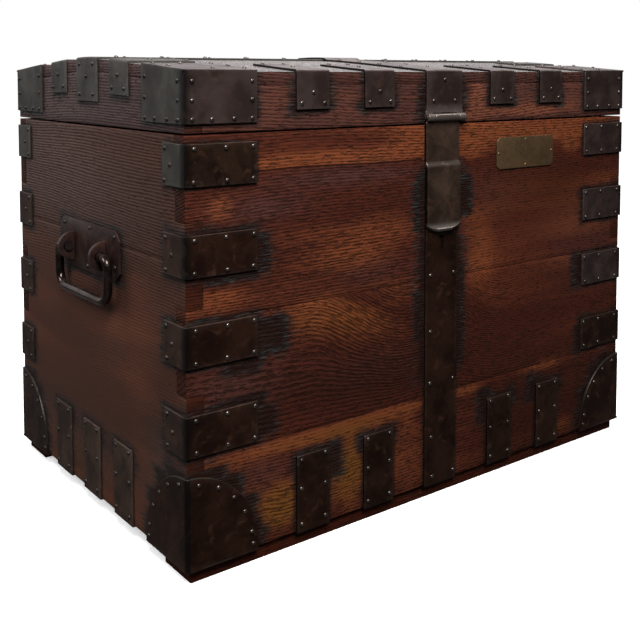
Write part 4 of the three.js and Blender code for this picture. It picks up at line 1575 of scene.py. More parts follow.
@dataclass
class Carcase(Maker):
    """The oak box: two long walls and two ends joined by fingers, a bottom and two skids."""

    LOCK_MARKS: ClassVar[Rows] = (
        (-29, 29, 0, 280, 5, 5, 0.7), (-29, 29, 290, 420, 14, 16, 0.85), (33, 50, 366, 402, 15, 13, 1.3),
        (-37, -33, 352, 408, 17, 17, 1.15), (-40, -33, 205, 258, 15, 14, 0.95),
        (-34, -33, 150, 360, 24, 30, 0.62), (33, 40, 160, 285, 12, 20, 0.85), (33, 38, 290, 330, 24, 22, 0.62),
    )
    FRONT_MARKS: ClassVar[Rows] = (
        (-385, -298, 321, 328, 6, 7, 1.0), (-335, -296, 214, 226, 16, 9, 0.9),
        (-350, -290, 172, 178, 12, 6, 0.9), (104, 220, 419, 458, 3, 3, 0.5),
        (-298, -286, 330, 362, 12, 14, 1.0), (-298, -262, 232, 262, 18, 12, 1.0),
        (-298, -276, 134, 160, 12, 10, 0.8), (-185, -178, 60, 92, 16, 14, 0.8),
        (286, 298, 230, 270, 18, 13, 1.0), (288, 298, 126, 160, 14, 12, 0.9), (80, 88, 64, 102, 16, 13, 1.0),
        (183, 192, 80, 100, 15, 12, 1.1),
    )
    FRONT_PATCHES: ClassVar[Patches] = {
        "glow": (
            (-150, 448, 190, 9, 1.25), (-50, 466, 45, 18, 0.8), (-345, 400, 16, 12, 0.9),
            (-345, 300, 30, 12, 0.5), (70, 470, 60, 12, 1.0), (55, 440, 30, 10, 0.7), (200, 464, 110, 9, 1.1),
            (268, 444, 22, 12, 0.9), (75, 285, 26, 30, 0.45), (-215, 262, 50, 20, 0.7),
            (-130, 245, 70, 24, 0.55), (-150, 330, 60, 22, 0.55), (-100, 375, 60, 12, 0.4),
            (-190, 111, 130, 8, 1.3), (-75, 113, 45, 6, 0.9), (-160, 55, 12, 42, 0.85), (-60, 95, 14, 14, 0.4),
            (-265, 36, 26, 26, 0.85), (46, 113, 30, 7, 1.1), (120, 116, 90, 6, 0.4), (215, 117, 44, 9, 0.9),
            (250, 25, 26, 20, 0.6), (70, 330, 30, 40, 0.3),
        ),
        "amber": (
            (-160, 55, 40, 50, 1.0), (-265, 36, 40, 40, 1.0), (-180, 107, 150, 9, 0.35),
            (-150, 240, 120, 40, 0.35),
        ),
        "shadow": (
            (200, 0, 300, 110, 0.4), (-120, 160, 190, 45, 0.42), (220, 385, 160, 44, 0.62),
            (220, 190, 210, 150, 0.32),
        ),
        # Grey sheen patches: painted reflection.
        "veil": (
            (-170, 425, 120, 12, 1.0), (-290, 396, 60, 14, 1.0), (-330, 196, 70, 30, 0.8),
            (-110, 178, 90, 22, 0.5), (-120, 300, 60, 16, 0.5), (110, 385, 80, 26, 0.5),
            (300, 300, 90, 70, 0.5), (-290, 85, 40, 16, 0.7),
        ),
        "calm": (
            (-160, 205, 150, 55, -0.55), (-200, 330, 110, 26, -0.3), (215, 335, 190, 100, 0.8),
            (240, 180, 170, 70, 0.4), (-180, 111, 150, 9, 0.9), (0, 60, 420, 50, 0.35),
            (-225, 460, 60, 12, 0.4),
        ),
    }
    END_PATCHES: ClassVar[Patches] = {
        "glow": ((250, 3, 220, 12, 1.4), (110, 150, 60, 110, 0.5), (130, 320, 60, 30, 0.5)),
        # Grey sheen patches: painted reflection, strongest high on the end.
        "veil": (
            (420, 440, 200, 90, 0.85), (300, 400, 260, 60, 0.5), (300, 62, 220, 34, 0.5),
            (60, 110, 40, 40, 0.5),
        ),
        "calm": ((250, 120, 900, 130, 1.0), (250, 250, 900, 60, 0.4)),
        "shadow": (
            (300, 66, 300, 48, 0.46), (70, 150, 60, 60, 0.34), (150, 300, 16, 44, 0.6),
            (245, 262, 95, 12, 0.55),
        ),
    }
    FALLS: ClassVar[tuple[Fall, ...]] = (
        Fall((-225, -55), 62.0, (121, 277.01), 110.0),
        Fall((20, 115), 42.0, (121, 277.01), 120.0),
    )
    VEIN: ClassVar[tuple[Pair, ...]] = ((-310, 439), (-234, 441), (-181, 440), (-118, 438), (-34, 439))

    seam_front: tuple[float, ...] = (0.0, 121.0, 277.0)
    seam_end: tuple[float, ...] = (0.0, 340.0)
    strap_height: float = 93.0
    long_leg: float = 92.5
    short_leg: float = 46.5
    strap_levels: tuple[float, ...] = (149.75, 249.92, 350.08, 450.25)
    rim: float = S.height - 0.6

    def finger(self, height: float) -> int:
        """Number of the finger at a height, from the bottom."""
        return min(S.fingers - 1, int(height / (S.height / S.fingers)))

    def levels(self) -> tuple[float, ...]:
        """Heights where one finger ends and the next begins."""
        return tuple(S.height * i / S.fingers for i in range(1, S.fingers))

    def edge_marks(self, low: float, high: float, leg: float, centres: Sequence[float]) -> list[Mark]:
        """Stains round the irons at the corners and the lower edge of a wall, given by its ends.

        Args:
            low: Where the wall starts.
            high: Where it ends.
            leg: Length of the corner straps on it.
            centres: Middles of the straps on its lower edge.

        Returns:
            The marks.
        """
        marks = []
        for level in self.strap_levels:
            reach = (6.0, 3.5) if level > 400 else (11.0, 9.0) if level > 300 else (16.0, 8.0)
            marks += Mark.pair(low, high, leg, level - 24, level + 24, *reach)
        for height, wide in ((106, 42), (92, 66), (62, 84), (30, 94)):
            marks += Mark.pair(low, high, wide, 0, height)
        marks += Mark.straps(centres, 76, self.strap_height, 16.0, 9.0)
        return marks + Mark.straps(centres, 0, 70, 5.0, 5.0, 0.75)

    def long_wall(self, side: Side) -> None:
        """Builds the front or back wall.

        Args:
            side: Side of the chest.
        """
        front = side is Side.FRONT
        inner = S.half - S.wall - S.fit
        centres = FRONT_CENTRES if front else [0.0, *FRONT_CENTRES]
        marks = self.edge_marks(-S.half, S.half, self.long_leg, centres)
        if front:
            marks += [Mark(S.clasp + row[0], S.clasp + row[1], *row[2:]) for row in self.LOCK_MARKS]
            marks += [Mark(*row) for row in self.FRONT_MARKS]
        else:
            marks += Mark.straps(HINGE_CENTRES, 364, S.height)
        boards = Boards(
            place=side.place,
            along=(-S.half, S.half),
            up=(*self.seam_front, self.rim),
            keep=lambda a, h: abs(a) < inner or self.finger(h) % 2 == 0,
            breaks=(-inner, inner),
            levels=self.levels(),
            marks=marks,
            patches=self.FRONT_PATCHES if front else {"glow": self.FRONT_PATCHES["glow"][::-2]},
            falls=self.FALLS if front else (),
            vein=self.VEIN if front else (),
            seed=2.0 if front else 31.0,
        )
        finish = Finish.FRONT if front else Finish.BACK
        thing = boards.piece(self.bench, f"{side.value}_boards", finish, "chest", f"{side.value}_panel")
        if front:
            Clasp.pierce(self.bench, thing, -2.0, 30.0, bolt=True)
        # Shading after the cuts lets the lock strap's stain and grime reach the keyhole's walls: painted shade inside
        # the recess.
        boards.shade(thing, self.bench, 0)

    def end_wall(self, side: Side) -> None:
        """Builds the left or right end.

        Args:
            side: Side of the chest.
        """
        inner = S.wall + S.fit
        marks = self.edge_marks(0, S.depth, self.short_leg, [S.ridge, *(S.ridge + c for c in END_CENTRES)])
        boards = Boards(
            place=side.place,
            along=(0.0, S.depth),
            up=(*self.seam_end, self.rim),
            keep=lambda a, h: inner < a < S.depth - inner or self.finger(h) % 2 == 1,
            breaks=(inner, S.depth - inner),
            levels=self.levels(),
            marks=[*marks, Mark(158, 344, 292, 356, 12.0, 8.0, 0.8)],
            patches=self.END_PATCHES,
            seed=11.0 if side is Side.LEFT else 17.0,
        )
        name = f"{side.value}_end"
        thing = boards.piece(self.bench, f"{name}_boards", Finish.END, "chest", f"{name}_panel")
        boards.shade(thing, self.bench, 1)
        self.bench.refaced(thing, Finish.FRONT, 1)

    def build(self) -> None:
        """Builds the carcase's wood and lining."""
        for side in (Side.FRONT, Side.BACK):
            self.long_wall(side)
        for side in (Side.LEFT, Side.RIGHT):
            self.end_wall(side)
        for node, bevel in (("bottom_board", 0.8), ("front_skid", 1.2), ("rear_skid", 1.2)):
            self.bench.refined(node, Finish.SKID, bevel=bevel)
        self.bench.refined("chest_lining", Finish.BAIZE, bevel=0.8)


def quarter(away: Array, tall: float, low: float) -> Array:
    """Height of a quarter-round outline over the share of its reach."""
    return np.maximum(tall * np.sqrt(np.clip(1 - away**2, 0, 1)), low + 0.5)


@dataclass
class CarcaseIron(Maker):
    """Iron on the carcase: corner straps, foot brackets, foot straps and the leaves of the hinges."""

    carcase: Carcase
    strap_tall: float = 47.5
    foot_front: float = 92.5
    foot_side: float = 95.0
    foot_tall: float = 104.0
    foot_return: float = 30.0
    rivet_reach: float = 0.92
    leaf_rows: tuple[float, ...] = (470, 440, 408, 376)
    leaf_half: float = 17

    def jogged(self, bar: Bar, spots: Sequence[Pair], middle: float, third: float, seed: float, by: float) -> None:
        """Sets rivets on a bar, each a little beside its place along the bar.

        Args:
            bar: The bar.
            spots: Place along the bar and across its middle of each rivet.
            middle: The bar's middle across.
            third: A value that tells this bar's unevenness from others.
            seed: Seed of the unevenness.
            by: Longest distance beside its place.
        """
        jog = by * wavering(np.array([(s, v, third) for s, v in spots]), 3.0, seed)
        self.rivets.add("chest_rivets", [bar.rivet(s + j, middle + v) for (s, v), j in zip(spots, jog)])

    def corner_strap(self, corner: Corner, number: int, level: float) -> None:
        """A strap bent round a vertical corner.

        Args:
            corner: Corner of the chest.
            number: Number of the strap, from the bottom.
            level: Height of its middle.
        """
        leg, half = self.carcase.long_leg, self.strap_tall / 2
        seed = 3.0 * number + corner.x + 2.0 * corner.y
        path = folded((-S.fit, self.carcase.short_leg), (leg, -S.fit))
        bar = Bar(path, corner.place, level - half, level + half, seed=seed)
        label = f"corner_strap_{number}_{corner.label}"
        left = Finish.IRON if level > 400 else Finish.FOOT_IRON
        finish = Finish.LID_IRON if corner.x > 0 and level > 200 else left
        thing = self.forged(f"{label}_iron", [bar], finish, replaces=[label])
        self.paint_fold_shade(thing, corner)
        # Legs on the end take a lit copy of the iron: painted reflection.
        self.bench.refaced(thing, Finish.PALE_IRON if level > 400 else Finish.END_IRON, 0, S.half)
        fold = bar.length - leg
        spots = [(fold + u, v) for u in (10.5, 51.5, 87.5) for v in (-18.3, 18.3)]
        spots += [(fold - 40, 18), (fold - 40, -18), (fold - 27, 0)]
        self.jogged(bar, spots, level, seed * 7, seed, 2.2)

    def foot_bracket(self, corner: Corner) -> None:
        """A quarter-round bracket folded round a lower corner, with its plate beneath.

        Args:
            corner: Corner of the chest.
        """
        front, side, tall = self.foot_front, self.foot_side, self.foot_tall
        path = rounded_path([(-S.fit, side), (-S.fit, -S.fit), (front, -S.fit)], 1.2)
        low = -S.fit - S.iron
        bar = Bar(path, corner.place, low, low + 1, seed=corner.x + 5.0 * corner.y, step=3.0, columns=10)
        fold = bar.length - front
        bar.high = lambda s: quarter(np.where(s < fold, (fold - s) / side, (s - fold) / front), tall, low)
        under = Bar(
            [(low, -S.fit), (front, -S.fit)],
            corner.level_place,
            low,
            lambda s: quarter((s + low) / front, side, low),
            step=3.0,
            columns=10,
        )
        label = f"foot_bracket_{corner.label}"
        thing = self.forged(f"{label}_iron", [bar, under], Finish.FOOT_IRON, replaces=[label])
        self.paint_fold_shade(thing, corner)
        # The bracket's top rim and lower plate take the near-black rivet copy: painted shade over the rim's highlight.
        self.bench.refaced(thing, Finish.DULL_RIVET, 2, steep=0.15)
        spots = []
        for turn in np.radians([9, 27, 44, 60, 77, 90]):
            height = max(self.rivet_reach * tall * math.cos(turn), 7.0)
            for reach in (front, -side):
                spots.append(bar.rivet(fold + self.rivet_reach * reach * math.sin(turn), height))
        self.rivets.add("chest_rivets", spots)

    def foot_strap(self, side: Side, centre: float) -> None:
        """A strap folded under a wall's lower edge.

        Args:
            side: Side of the chest.
            centre: Its middle along the wall.
        """
        half = S.strap / 2
        path = folded((-S.fit, self.carcase.strap_height), (self.foot_return, -S.fit))
        bar = Bar(path, side.place, centre - half, centre + half, seed=centre / 9.0 + len(side.value))
        along_x = side in (Side.FRONT, Side.BACK)
        # Straps on the ends take a lit copy of the iron: painted reflection.
        finish = Finish.FOOT_IRON if along_x else Finish.END_FOOT_IRON
        thing = self.forged(f"foot_strap_{side.value}_{round(centre) + 500}", [bar], finish)
        if along_x:
            self.bench.paint_side_shade(thing)
        self.jogged(bar, [(s, v) for s in (4.8, 42, 84) for v in (-18, 18)], centre, centre, centre, 2.0)

    def build(self) -> None:
        """Builds the carcase's iron."""
        for corner in CORNERS:
            for number, level in enumerate(self.carcase.strap_levels, 1):
                self.corner_strap(corner, number, level)
            self.foot_bracket(corner)
        ends = [S.ridge, *(S.ridge + c for c in END_CENTRES)]
        rows = (FRONT_CENTRES, [0.0, *FRONT_CENTRES], ends, ends)
        for side, centres in zip(Side, rows):
            for centre in centres:
                self.foot_strap(side, centre)
        for label in ("left", "right"):
            self.bench.refined(f"{label}_hinge_body_leaf", Finish.IRON, bevel=0.35)
        y = S.depth + S.fit + S.iron
        across = (-self.leaf_half, self.leaf_half)
        leaves = [(x + v, y, z) for x in HINGE_CENTRES for z in self.leaf_rows for v in across]
        self.rivets.add_plain("chest_rivets", leaves, (0, 1, 0))


# Lid


@dataclass
class Lid(Maker):
    """The cambered lid: two rails, two arched ends, a top board and a lining."""

    cap_front: float = 93.0
    cap_side: float = 95.0
    cap_margin: float = 10.5
    cap_over: float = 97.0
    strap_over: float = 45.0
    outer_skin: float = 3.0
    rim: float = S.lid_low + 0.5
    rail_top: float = S.lid_edge - S.lid_board - S.fit

    def cap_marks(self, low: float, high: float, leg: float) -> list[Mark]:
        """Stains round the corner caps."""
        return Mark.pair(low, high, leg, S.lid_low + self.cap_margin, S.lid_edge + 30, 9.0, 4.0)

    def rail(self, side: Side) -> None:
        """A long rail.

        Args:
            side: Side of the chest.
        """
        inner, low = S.half - S.wall - S.fit, S.lid_low
        straps = FRONT_CENTRES if side is Side.FRONT else [0.0, *FRONT_CENTRES]
        marks = self.cap_marks(-S.half, S.half, self.cap_front)
        marks += Mark.straps(straps, low + 24, 600, 12.0, 5.0, 0.7)
        marks += Mark.straps(straps, low + 22, low + 34, 13.0, 6.0, 0.9, half=26.0)
        marks += [Mark(-36, 36, low, 600, 15.0, 6.0, 0.8), Mark(-38, -36, low + 18, low + 42, 15.0, 12.0, 0.9)]
        glows = ((-275, 520, 30, 30, 0.12), (-165, 525, 30, 20, 0.2), (60, 514, 24, 30, 1.3), (160, 498, 120, 9, 0.8))
        boards = Boards(
            place=side.place,
            along=(-inner, inner),
            up=(self.rim, self.rail_top),
            marks=marks,
            patches={"glow": glows, "calm": ((240, 520, 120, 40, 0.4),)},
            seed=5.0,
        )
        node = f"lid_{side.value}_rail"
        boards.shade(boards.piece(self.bench, f"{node}_board", Finish.LID, "lid", node), self.bench, 0)

    def end(self, side: Side) -> None:
        """An arched end.

        Args:
            side: Side of the chest.
        """
        marks = self.cap_marks(0, S.depth, self.cap_side)
        marks += Mark.straps([S.ridge + c for c in END_CENTRES], S.lid_low + 36, 620, 8.0, 4.0, 0.6)
        marks += Mark.straps([S.ridge], S.lid_low + 28, 620, 8.0, 4.0, 0.6, half=31.0)
        boards = Boards(
            place=side.place,
            along=(0.0, S.depth),
            up=(self.rim, self.rail_top),
            marks=marks,
            # The grey sheen patch near the top is a painted reflection.
            patches={"glow": ((250, 500, 200, 9, 0.5),), "veil": ((430, 520, 200, 60, 0.5),)},
            seed=7.0,
            lift=lambda points: S.lifted(points, S.lid_low, self.rail_top),
        )
        node = f"lid_{side.value}_end"
        thing = boards.piece(self.bench, f"{node}_board", Finish.LID_END, "lid", node)
        boards.shade(thing, self.bench, 1)
        self.bench.refaced(thing, Finish.LID, 1)

    def top(self) -> None:
        """The cambered top board, whose stains are read along X and Y."""
        boards = Boards(
            place=lambda inward, height, along: stacked(along, height, S.lid_edge - inward),
            along=(S.fit - S.half, S.half - S.fit),
            up=(S.fit, 132.0, 259.0, 383.0, S.depth - S.fit),
            thickness=S.lid_board,
            step=10.0,
            soft=0.6,
            seed=23.0,
            lift=lambda points: S.lifted(points, 0.0, S.lid_edge, 1.0),
        )
        thing = boards.piece(self.bench, "lid_top_boards", Finish.TOP, "lid", "lid_top")
        for finish in (Finish.LID, Finish.LID_END):
            thing.data.materials.append(self.bench.mixed[finish])
        front = self.bench.origin[1]
        for face in thing.data.polygons:
            outer = min(face.center.y - front, front + S.depth * MM - face.center.y)
            if abs(face.normal.x) > 0.7:
                face.material_index = 2
            elif abs(face.normal.y) > 0.7 and outer < self.outer_skin * MM:
                face.material_index = 1
        marks = [Mark(-S.half, S.half, S.ridge - 31, S.ridge + 31, 12.0, 9.0, 0.8)]
        marks += Mark.straps([0.0], 0, S.depth, 12.0, 9.0, 0.8, half=33.0)
        for low, high in ((0, self.cap_over), (S.depth - self.cap_over, S.depth)):
            marks += Mark.pair(-S.half, S.half, 95, low, high, 10.0, 8.0, 0.7)
        for y in (self.strap_over, S.depth - self.strap_over):
            marks += Mark.straps(FRONT_CENTRES, y - self.strap_over, y + self.strap_over, 12.0, 9.0, 0.7)
        x, y, _ = self.bench.measured(thing).T
        self.bench.note(thing, "stain", np.max([mark.stain(x, y) for mark in marks], axis=0))

    def build(self) -> None:
        """Builds the lid's wood and lining."""
        for side in (Side.FRONT, Side.BACK):
            self.rail(side)
        for side in (Side.LEFT, Side.RIGHT):
            self.end(side)
        self.top()
        self.bench.refined("lid_lining", Finish.BAIZE, "lid", 0.8)


@dataclass
class LidIron(Maker):
    """Iron on the lid: caps, edge straps, the ridge strap and the strap across it."""

    CAP_HEADS: ClassVar[Rows] = ((8.5, 5), (8.5, 26), (8.5, 47), (86, 5), (86, 26), (86, 47), (33, 5), (62, 5))
    CAP_TOP_HEADS: ClassVar[Rows] = ((8, 86), (8, 48), (8, 12), (50, 86), (86, 86), (86, 48), (50, 12))
    RIDGE_END_HEADS: ClassVar[Rows] = ((7, -21), (7, 21), (24, 0), (36, -21), (36, 21))
    FRONT_END_HEADS: ClassVar[Rows] = ((16, -20), (16, 19), (44, 0))

    lid: Lid
    reach: float = 90.0
    ridge_wide: float = 61.0
    centre_wide: float = 66.0
    ramp: float = 9.0
    top: float = S.lid_edge + S.fit
    long_end: float = 23.5
    short_end: float = 35.5
    ridge_end: float = 27.5
    ridge_heads: int = 23
    ridge_first: float = 70.0
    ridge_clear: float = 40.0

    def lift(self, points: Array) -> Array:
        """Lifts iron that was laid out on a flat lid."""
        return S.lifted(points, S.lid_low + 20, S.lid_edge)

    def cap(self, corner: Corner) -> None:
        """A corner cap: two legs and a top plate.

        Args:
            corner: Corner of the chest.
        """
        front, side, low = self.lid.cap_front, self.lid.cap_side, S.lid_low + self.lid.cap_margin
        iron = S.fit + S.iron
        seed = 41.0 + corner.x + 3 * corner.y
        path = folded((-S.fit, side), (front, -S.fit))
        legs = Bar(path, corner.place, low, self.top + S.iron * 0.6, seed=seed, lift=self.lift)
        flat = [(front, self.top), (-iron, self.top)]
        plate = Bar(flat, corner.level_place, -iron, side, seed=seed + 5, lift=self.lift)
        label = f"lid_cap_{corner.label}"
        thing = self.forged(f"{label}_iron", [legs, plate], Finish.LID_IRON, "lid", [label])
        self.paint_fold_shade(thing, corner)
        # The cap's end faces take the lit copy of the iron: painted reflection.
        self.bench.refaced(thing, Finish.PALE_IRON, 0, S.half)
        fold = legs.length - front
        heads = [legs.rivet(fold + u, low + z) for u, z in self.CAP_HEADS]
        heads += [legs.rivet(fold - u - 1, low + z) for u, z in self.CAP_HEADS]
        self.rivets.add("lid_rivets", heads + [plate.rivet(s, w) for s, w in self.CAP_TOP_HEADS])

    def edge_strap(self, side: Side, middle: float, low: float, seed: float, number: int, finish: Finish) -> Thing:
        """A strap folded over an edge.

        Args:
            side: The side that it hangs down.
            middle: Its middle along that side.
            low: Height of its lower end over the lid's lower edge.
            seed: Seed of its unevenness.
            number: Number in its name.
            finish: Its finish.

        Returns:
            The strap.
        """
        path, half = folded((self.reach, self.top), (-S.fit, S.lid_low + low)), S.strap / 2
        bar = Bar(path, side.place, middle - half, middle + half, seed=seed, lift=self.lift)
        end = bar.length
        spots = [(end - 7, -17), (end - 7, 17), (end - 20, 0), (8, -16), (8, 16), (50, 0)]
        self.rivets.add("lid_rivets", [bar.rivet(s, middle + v) for s, v in spots])
        return self.forged(f"lid_strap_{side.value}_{number}", [bar], finish, "lid")

    def ridge_strap(self) -> None:
        """The strap along the crown."""
        low, x, half = S.lid_low + self.ridge_end, S.half + S.fit, self.ridge_wide / 2
        bar = Bar(
            rounded_path([(x, low), (x, self.top), (-x, self.top), (-x, low)], 0.8),
            lambda a, b, w: stacked(a, w, b),
            S.ridge - half,
            S.ridge + half,
            wave=0.12,
            seed=61.0,
            step=20.0,
            lift=self.lift,
        )
        # The ridge strap takes the lit copy of the iron: painted reflection from above.
        self.forged("ridge_strap_iron", [bar], Finish.PALE_IRON, "lid", ["ridge_strap"])
        ends = ((0.0, 1), (bar.length, -1))
        spots = [(start + sign * s, v) for start, sign in ends for s, v in self.RIDGE_END_HEADS]
        for i in range(self.ridge_heads):
            s = self.ridge_first + (bar.length - 2 * self.ridge_first) * i / (self.ridge_heads - 1)
            if abs(s - bar.length / 2) > self.ridge_clear:
                spots.append((s, 22 if i % 2 else -22))
        self.rivets.add("lid_rivets", [bar.rivet(s, S.ridge + v) for s, v in spots])

    def centre_strap(self) -> None:
        """The strap across the lid, which lifts over the ridge strap and carries the hasp's outer knuckles."""
        start = S.ridge - self.ridge_wide / 2 - S.fit
        hill = [(start - self.ramp, self.top), (start, self.top + S.fit + S.iron - 0.2)]
        far = [(S.depth - y, z) for y, z in reversed(hill)]
        back, low = S.depth + S.fit, Clasp.axis_height + 5.5
        ends = [(back, S.lid_low + self.long_end), (back, self.top)], [(-S.fit, self.top), (-S.fit, low)]
        path = rounded_path([*ends[0], *reversed([*hill, *far]), *ends[1]], 1.0)

        def place(a: Array, b: Array, w: Array) -> Array:
            """Points given along Y, up and along X."""
            return stacked(w, a, b)

        half = self.centre_wide / 2
        bar = Bar(path, place, -half, half, wave=0.1, seed=71.0, step=14.0, lift=self.lift)
        outer = ((-34.0, -22.3), (22.3, 34.0))
        knuckles = [Clasp.knuckle_bar(self.bench, spread) for spread in outer]
        stem = [(-S.fit, low + 3), (-S.fit, Clasp.axis_height)]
        tabs = [Bar(stem, place, *spread, wave=0.0) for spread in outer]
        label = "lid_centre_strap"
        thing = self.forged(f"{label}_iron", [bar, *knuckles, *tabs], Finish.LID_IRON, "lid", [label])
        self.bench.paint_side_shade(thing)
        _, y, z = self.bench.measured(thing).T
        # Painted highlight on the strap's lower front end, just over the knuckles.
        self.bench.note(thing, "rubbed", 0.55 * np.clip((504 - z) / 4, 0, 1) * (y < 0))
        heads = [(bar.length - s, v) for s, v in self.FRONT_END_HEADS] + [(7, -22), (7, 22)]
        heads += [(s, v) for s in (80, 125, 170, 212, 358, 402, 446, 490) for v in (-25, 25)]
        self.rivets.add("lid_rivets", [bar.rivet(s, v) for s, v in heads])

    def build(self) -> None:
        """Builds the lid's iron."""
        for corner in CORNERS:
            self.cap(corner)
        for side, centres in ((Side.FRONT, FRONT_CENTRES), (Side.BACK, sorted(FRONT_CENTRES)[1:3])):
            for c in centres:
                strap = self.edge_strap(side, c, self.long_end, c / 7, round(c) + 500, Finish.LID_IRON)
                self.bench.paint_side_shade(strap)
        for side in (Side.LEFT, Side.RIGHT):
            for c in END_CENTRES:
                middle = S.ridge + c
                # Straps on the lid's ends take the lit copy of the iron: painted reflection.
                self.edge_strap(side, middle, self.short_end, c / 5, round(middle), Finish.PALE_IRON)
        self.ridge_strap()
        self.centre_strap()
        for label in ("left", "right"):
            self.bench.refined(f"{label}_hinge_lid_leaf", Finish.IRON, "lid", 0.35)
            self.bench.refined(f"{label}_hinge_pin", Finish.POLISHED, "lid", 0.4)
        for x in HINGE_CENTRES:
            back = [(x + v, S.depth + S.fit + S.iron, z) for z in (507, 537) for v in (-17, 17)]
            self.rivets.add_plain("lid_rivets", back, (0, 1, 0))
            over = [(v, y) for y in (S.depth - 14, S.depth - 78) for v in (-16, 16)]
            tops = [(x + v, y, float(S.camber(y)) + S.fit + S.iron) for v, y in over]
            self.rivets.add_plain("lid_rivets", tops, (0, 0, 1))


# Hasp, lock and name plate


@dataclass
class Clasp(Maker):
    """The hasp with its staple, the lock strap over the lock, and the name plate."""

    STRAP_HEADS: ClassVar[Rows] = (
        (-20.5, 284), (22.5, 283), (-19.9, 208), (-20, 138), (22.4, 138), (-17.7, 64.5), (-15, 10), (24, 10),
    )

    axis_height: float = 493.0
    radius: float = 5.0
    wide: float = 61.0
    knuckle: float = 22.0
    thick: float = 4.0
    step_drop: float = 59.0
    step_tall: float = 6.0
    stand: float = 3.4
    lip_top: float = 352.0
    lip_round: float = 10.5
    lip_bend: float = 12.0
    lip_turn: float = 55.0
    strap_wide: float = 58.0
    key_top: float = 336.0
    key_radius: float = 3.4
    key_slot: float = 4.8
    key_tall: float = 16.0
    slot_half: float = 4.0
    slot_up: Pair = (350.0, 374.0)
    throw: float = 12.0
    clearance: float = 0.4
    pin_inset: float = 4

    @classmethod
    def knuckle_bar(cls, bench: Bench, ends: Pair) -> Mesh:
        """A knuckle on the hasp's axis."""
        return barrel(bench, cls.radius, (-S.fit - cls.radius, cls.axis_height), ends)

    def hasp(self) -> None:
        """The hasp: flat, stepped over the lock strap, with a thumb lip and a knuckle."""
        top = self.axis_height - self.radius - 0.5
        bend = self.axis_height - self.step_drop
        centre, reach = -self.stand - self.lip_bend, self.lip_bend
        turns = [math.radians(self.lip_turn) * i / 12 for i in range(13)]
        lip = [(centre + reach * math.cos(t), self.lip_top - reach * math.sin(t)) for t in turns]
        step = rounded_path([(-S.fit, top), (-S.fit, bend), (-self.stand, bend - self.step_tall), lip[0]], 5.0, 5)
        place = Side.FRONT.place
        bar = Bar([*step[:-1], *lip], place, 0, 1, self.thick, rim=0.8, wave=0.3, seed=83.0, step=2.5, columns=20)

        def half(s: Array) -> Array:
            """Half of the width, which rounds off at the lip."""
            drop = (self.lip_top - np.interp(s, bar.along, bar.ways[:, 1])) / self.lip_round
            return self.wide / 2 * np.sqrt(np.clip(1 - np.clip(drop, 0, 1) ** 2, 0.02, 1))

        bar.low = lambda s: S.clasp - half(s)
        bar.high = lambda s: S.clasp + half(s)
        ends = (-self.knuckle, self.knuckle)
        stem = [(-S.fit, self.axis_height), (-S.fit, top - 3)]
        tab = Bar(stem, place, *ends, self.thick, wave=0.0)
        shapes = [bar, self.knuckle_bar(self.bench, ends), tab]
        thing = self.forged("hasp_plate", shapes, Finish.POLISHED, "hasp", ["hasp"])
        self.bench.paint_side_shade(thing)
        height = self.bench.measured(thing)[:, 2]
        # Painted highlights where light falls: the upturned lip, the top over the knuckle and the step.
        worn = np.clip((self.lip_top + 1.5 - height) / 4, 0, 1) + 0.5 * (height > top)
        worn += 0.55 * np.exp(-(((height - bend + 3.0) / 2.6) ** 2))
        self.bench.note(thing, "rubbed", np.clip(worn, 0, 1))
        self.bench.refined("hasp_staple", Finish.POLISHED, "hasp", 0.5)
        self.bench.refined("hasp_pin", Finish.POLISHED, "lid", 0.4)

    @classmethod
    def key_shape(cls) -> list[Pair]:
        """Outline of the keyhole in X and Z.

        Returns:
            Its corners.
        """
        radius, slot = cls.key_radius, cls.key_slot / 2
        centre, low = cls.key_top - radius, cls.key_top - cls.key_tall
        rest = math.asin(slot / radius)
        turns = [rest - math.pi / 2 + (2 * math.pi - 2 * rest) * i / 20 for i in range(21)]
        points = [(S.clasp + radius * math.cos(t), centre + radius * math.sin(t)) for t in turns]
        return [*points, (S.clasp - slot, low), (S.clasp + slot, low)]

    @staticmethod
    def oblong(left: float, right: float, low: float, high: float) -> list[Pair]:
        """An upright oblong in X and Z."""
        return [(left, low), (right, low), (right, high), (left, high)]

    @staticmethod
    def cutter(bench: Bench, outline: Sequence[Pair], near: float, far: float) -> Thing:
        """A prism along Y for cutting an opening.

        Args:
            bench: The bench that places it.
            outline: Its outline in X and Z.
            near: Where it starts along Y.
            far: Where it ends.

        Returns:
            The new object.
        """
        points = [(x, y, z) for y in (near, far) for x, z in outline]
        mesh = tube(bench.rowed(np.array(points)), 2, len(outline), True)
        bmesh.ops.recalc_face_normals(mesh, faces=mesh.faces)
        return linked("cutter", mesh)

    @classmethod
    def pierce(cls, bench: Bench, target: Thing, near: float, far: float, bolt: bool = False) -> None:
        """Cuts the keyhole, the staple's slot and, on request, the bolt's room out of a piece.

        Args:
            bench: The bench that placed the piece.
            target: The piece.
            near: Where the cuts start along Y.
            far: Where they end.
            bolt: Whether the bolt's room is cut too.
        """
        slot = cls.oblong(S.clasp - cls.slot_half, S.clasp + cls.slot_half, *cls.slot_up)
        openings = [(cls.key_shape(), near, far), (slot, near, far)]
        if bolt:
            low, high = bench.box("lock_bolt")
            low, high = low - cls.clearance, high + cls.clearance
            openings.append((cls.oblong(low[0], high[0] + cls.throw, low[2], high[2]), low[1], high[1]))
        for opening in openings:
            tool = cls.cutter(bench, *opening)
            modifier = target.modifiers.new("Opening", "BOOLEAN")
            modifier.operation = "DIFFERENCE"
            modifier.solver = "EXACT"
            modifier.object = tool
            graph = bpy.context.evaluated_depsgraph_get()
            cut = bpy.data.meshes.new_from_object(target.evaluated_get(graph))
            target.modifiers.remove(modifier)
            old, target.data = target.data, cut
            bpy.data.objects.remove(tool)
            bpy.data.meshes.remove(old)
        target.data.set_sharp_from_angle(angle=math.radians(SHARP))

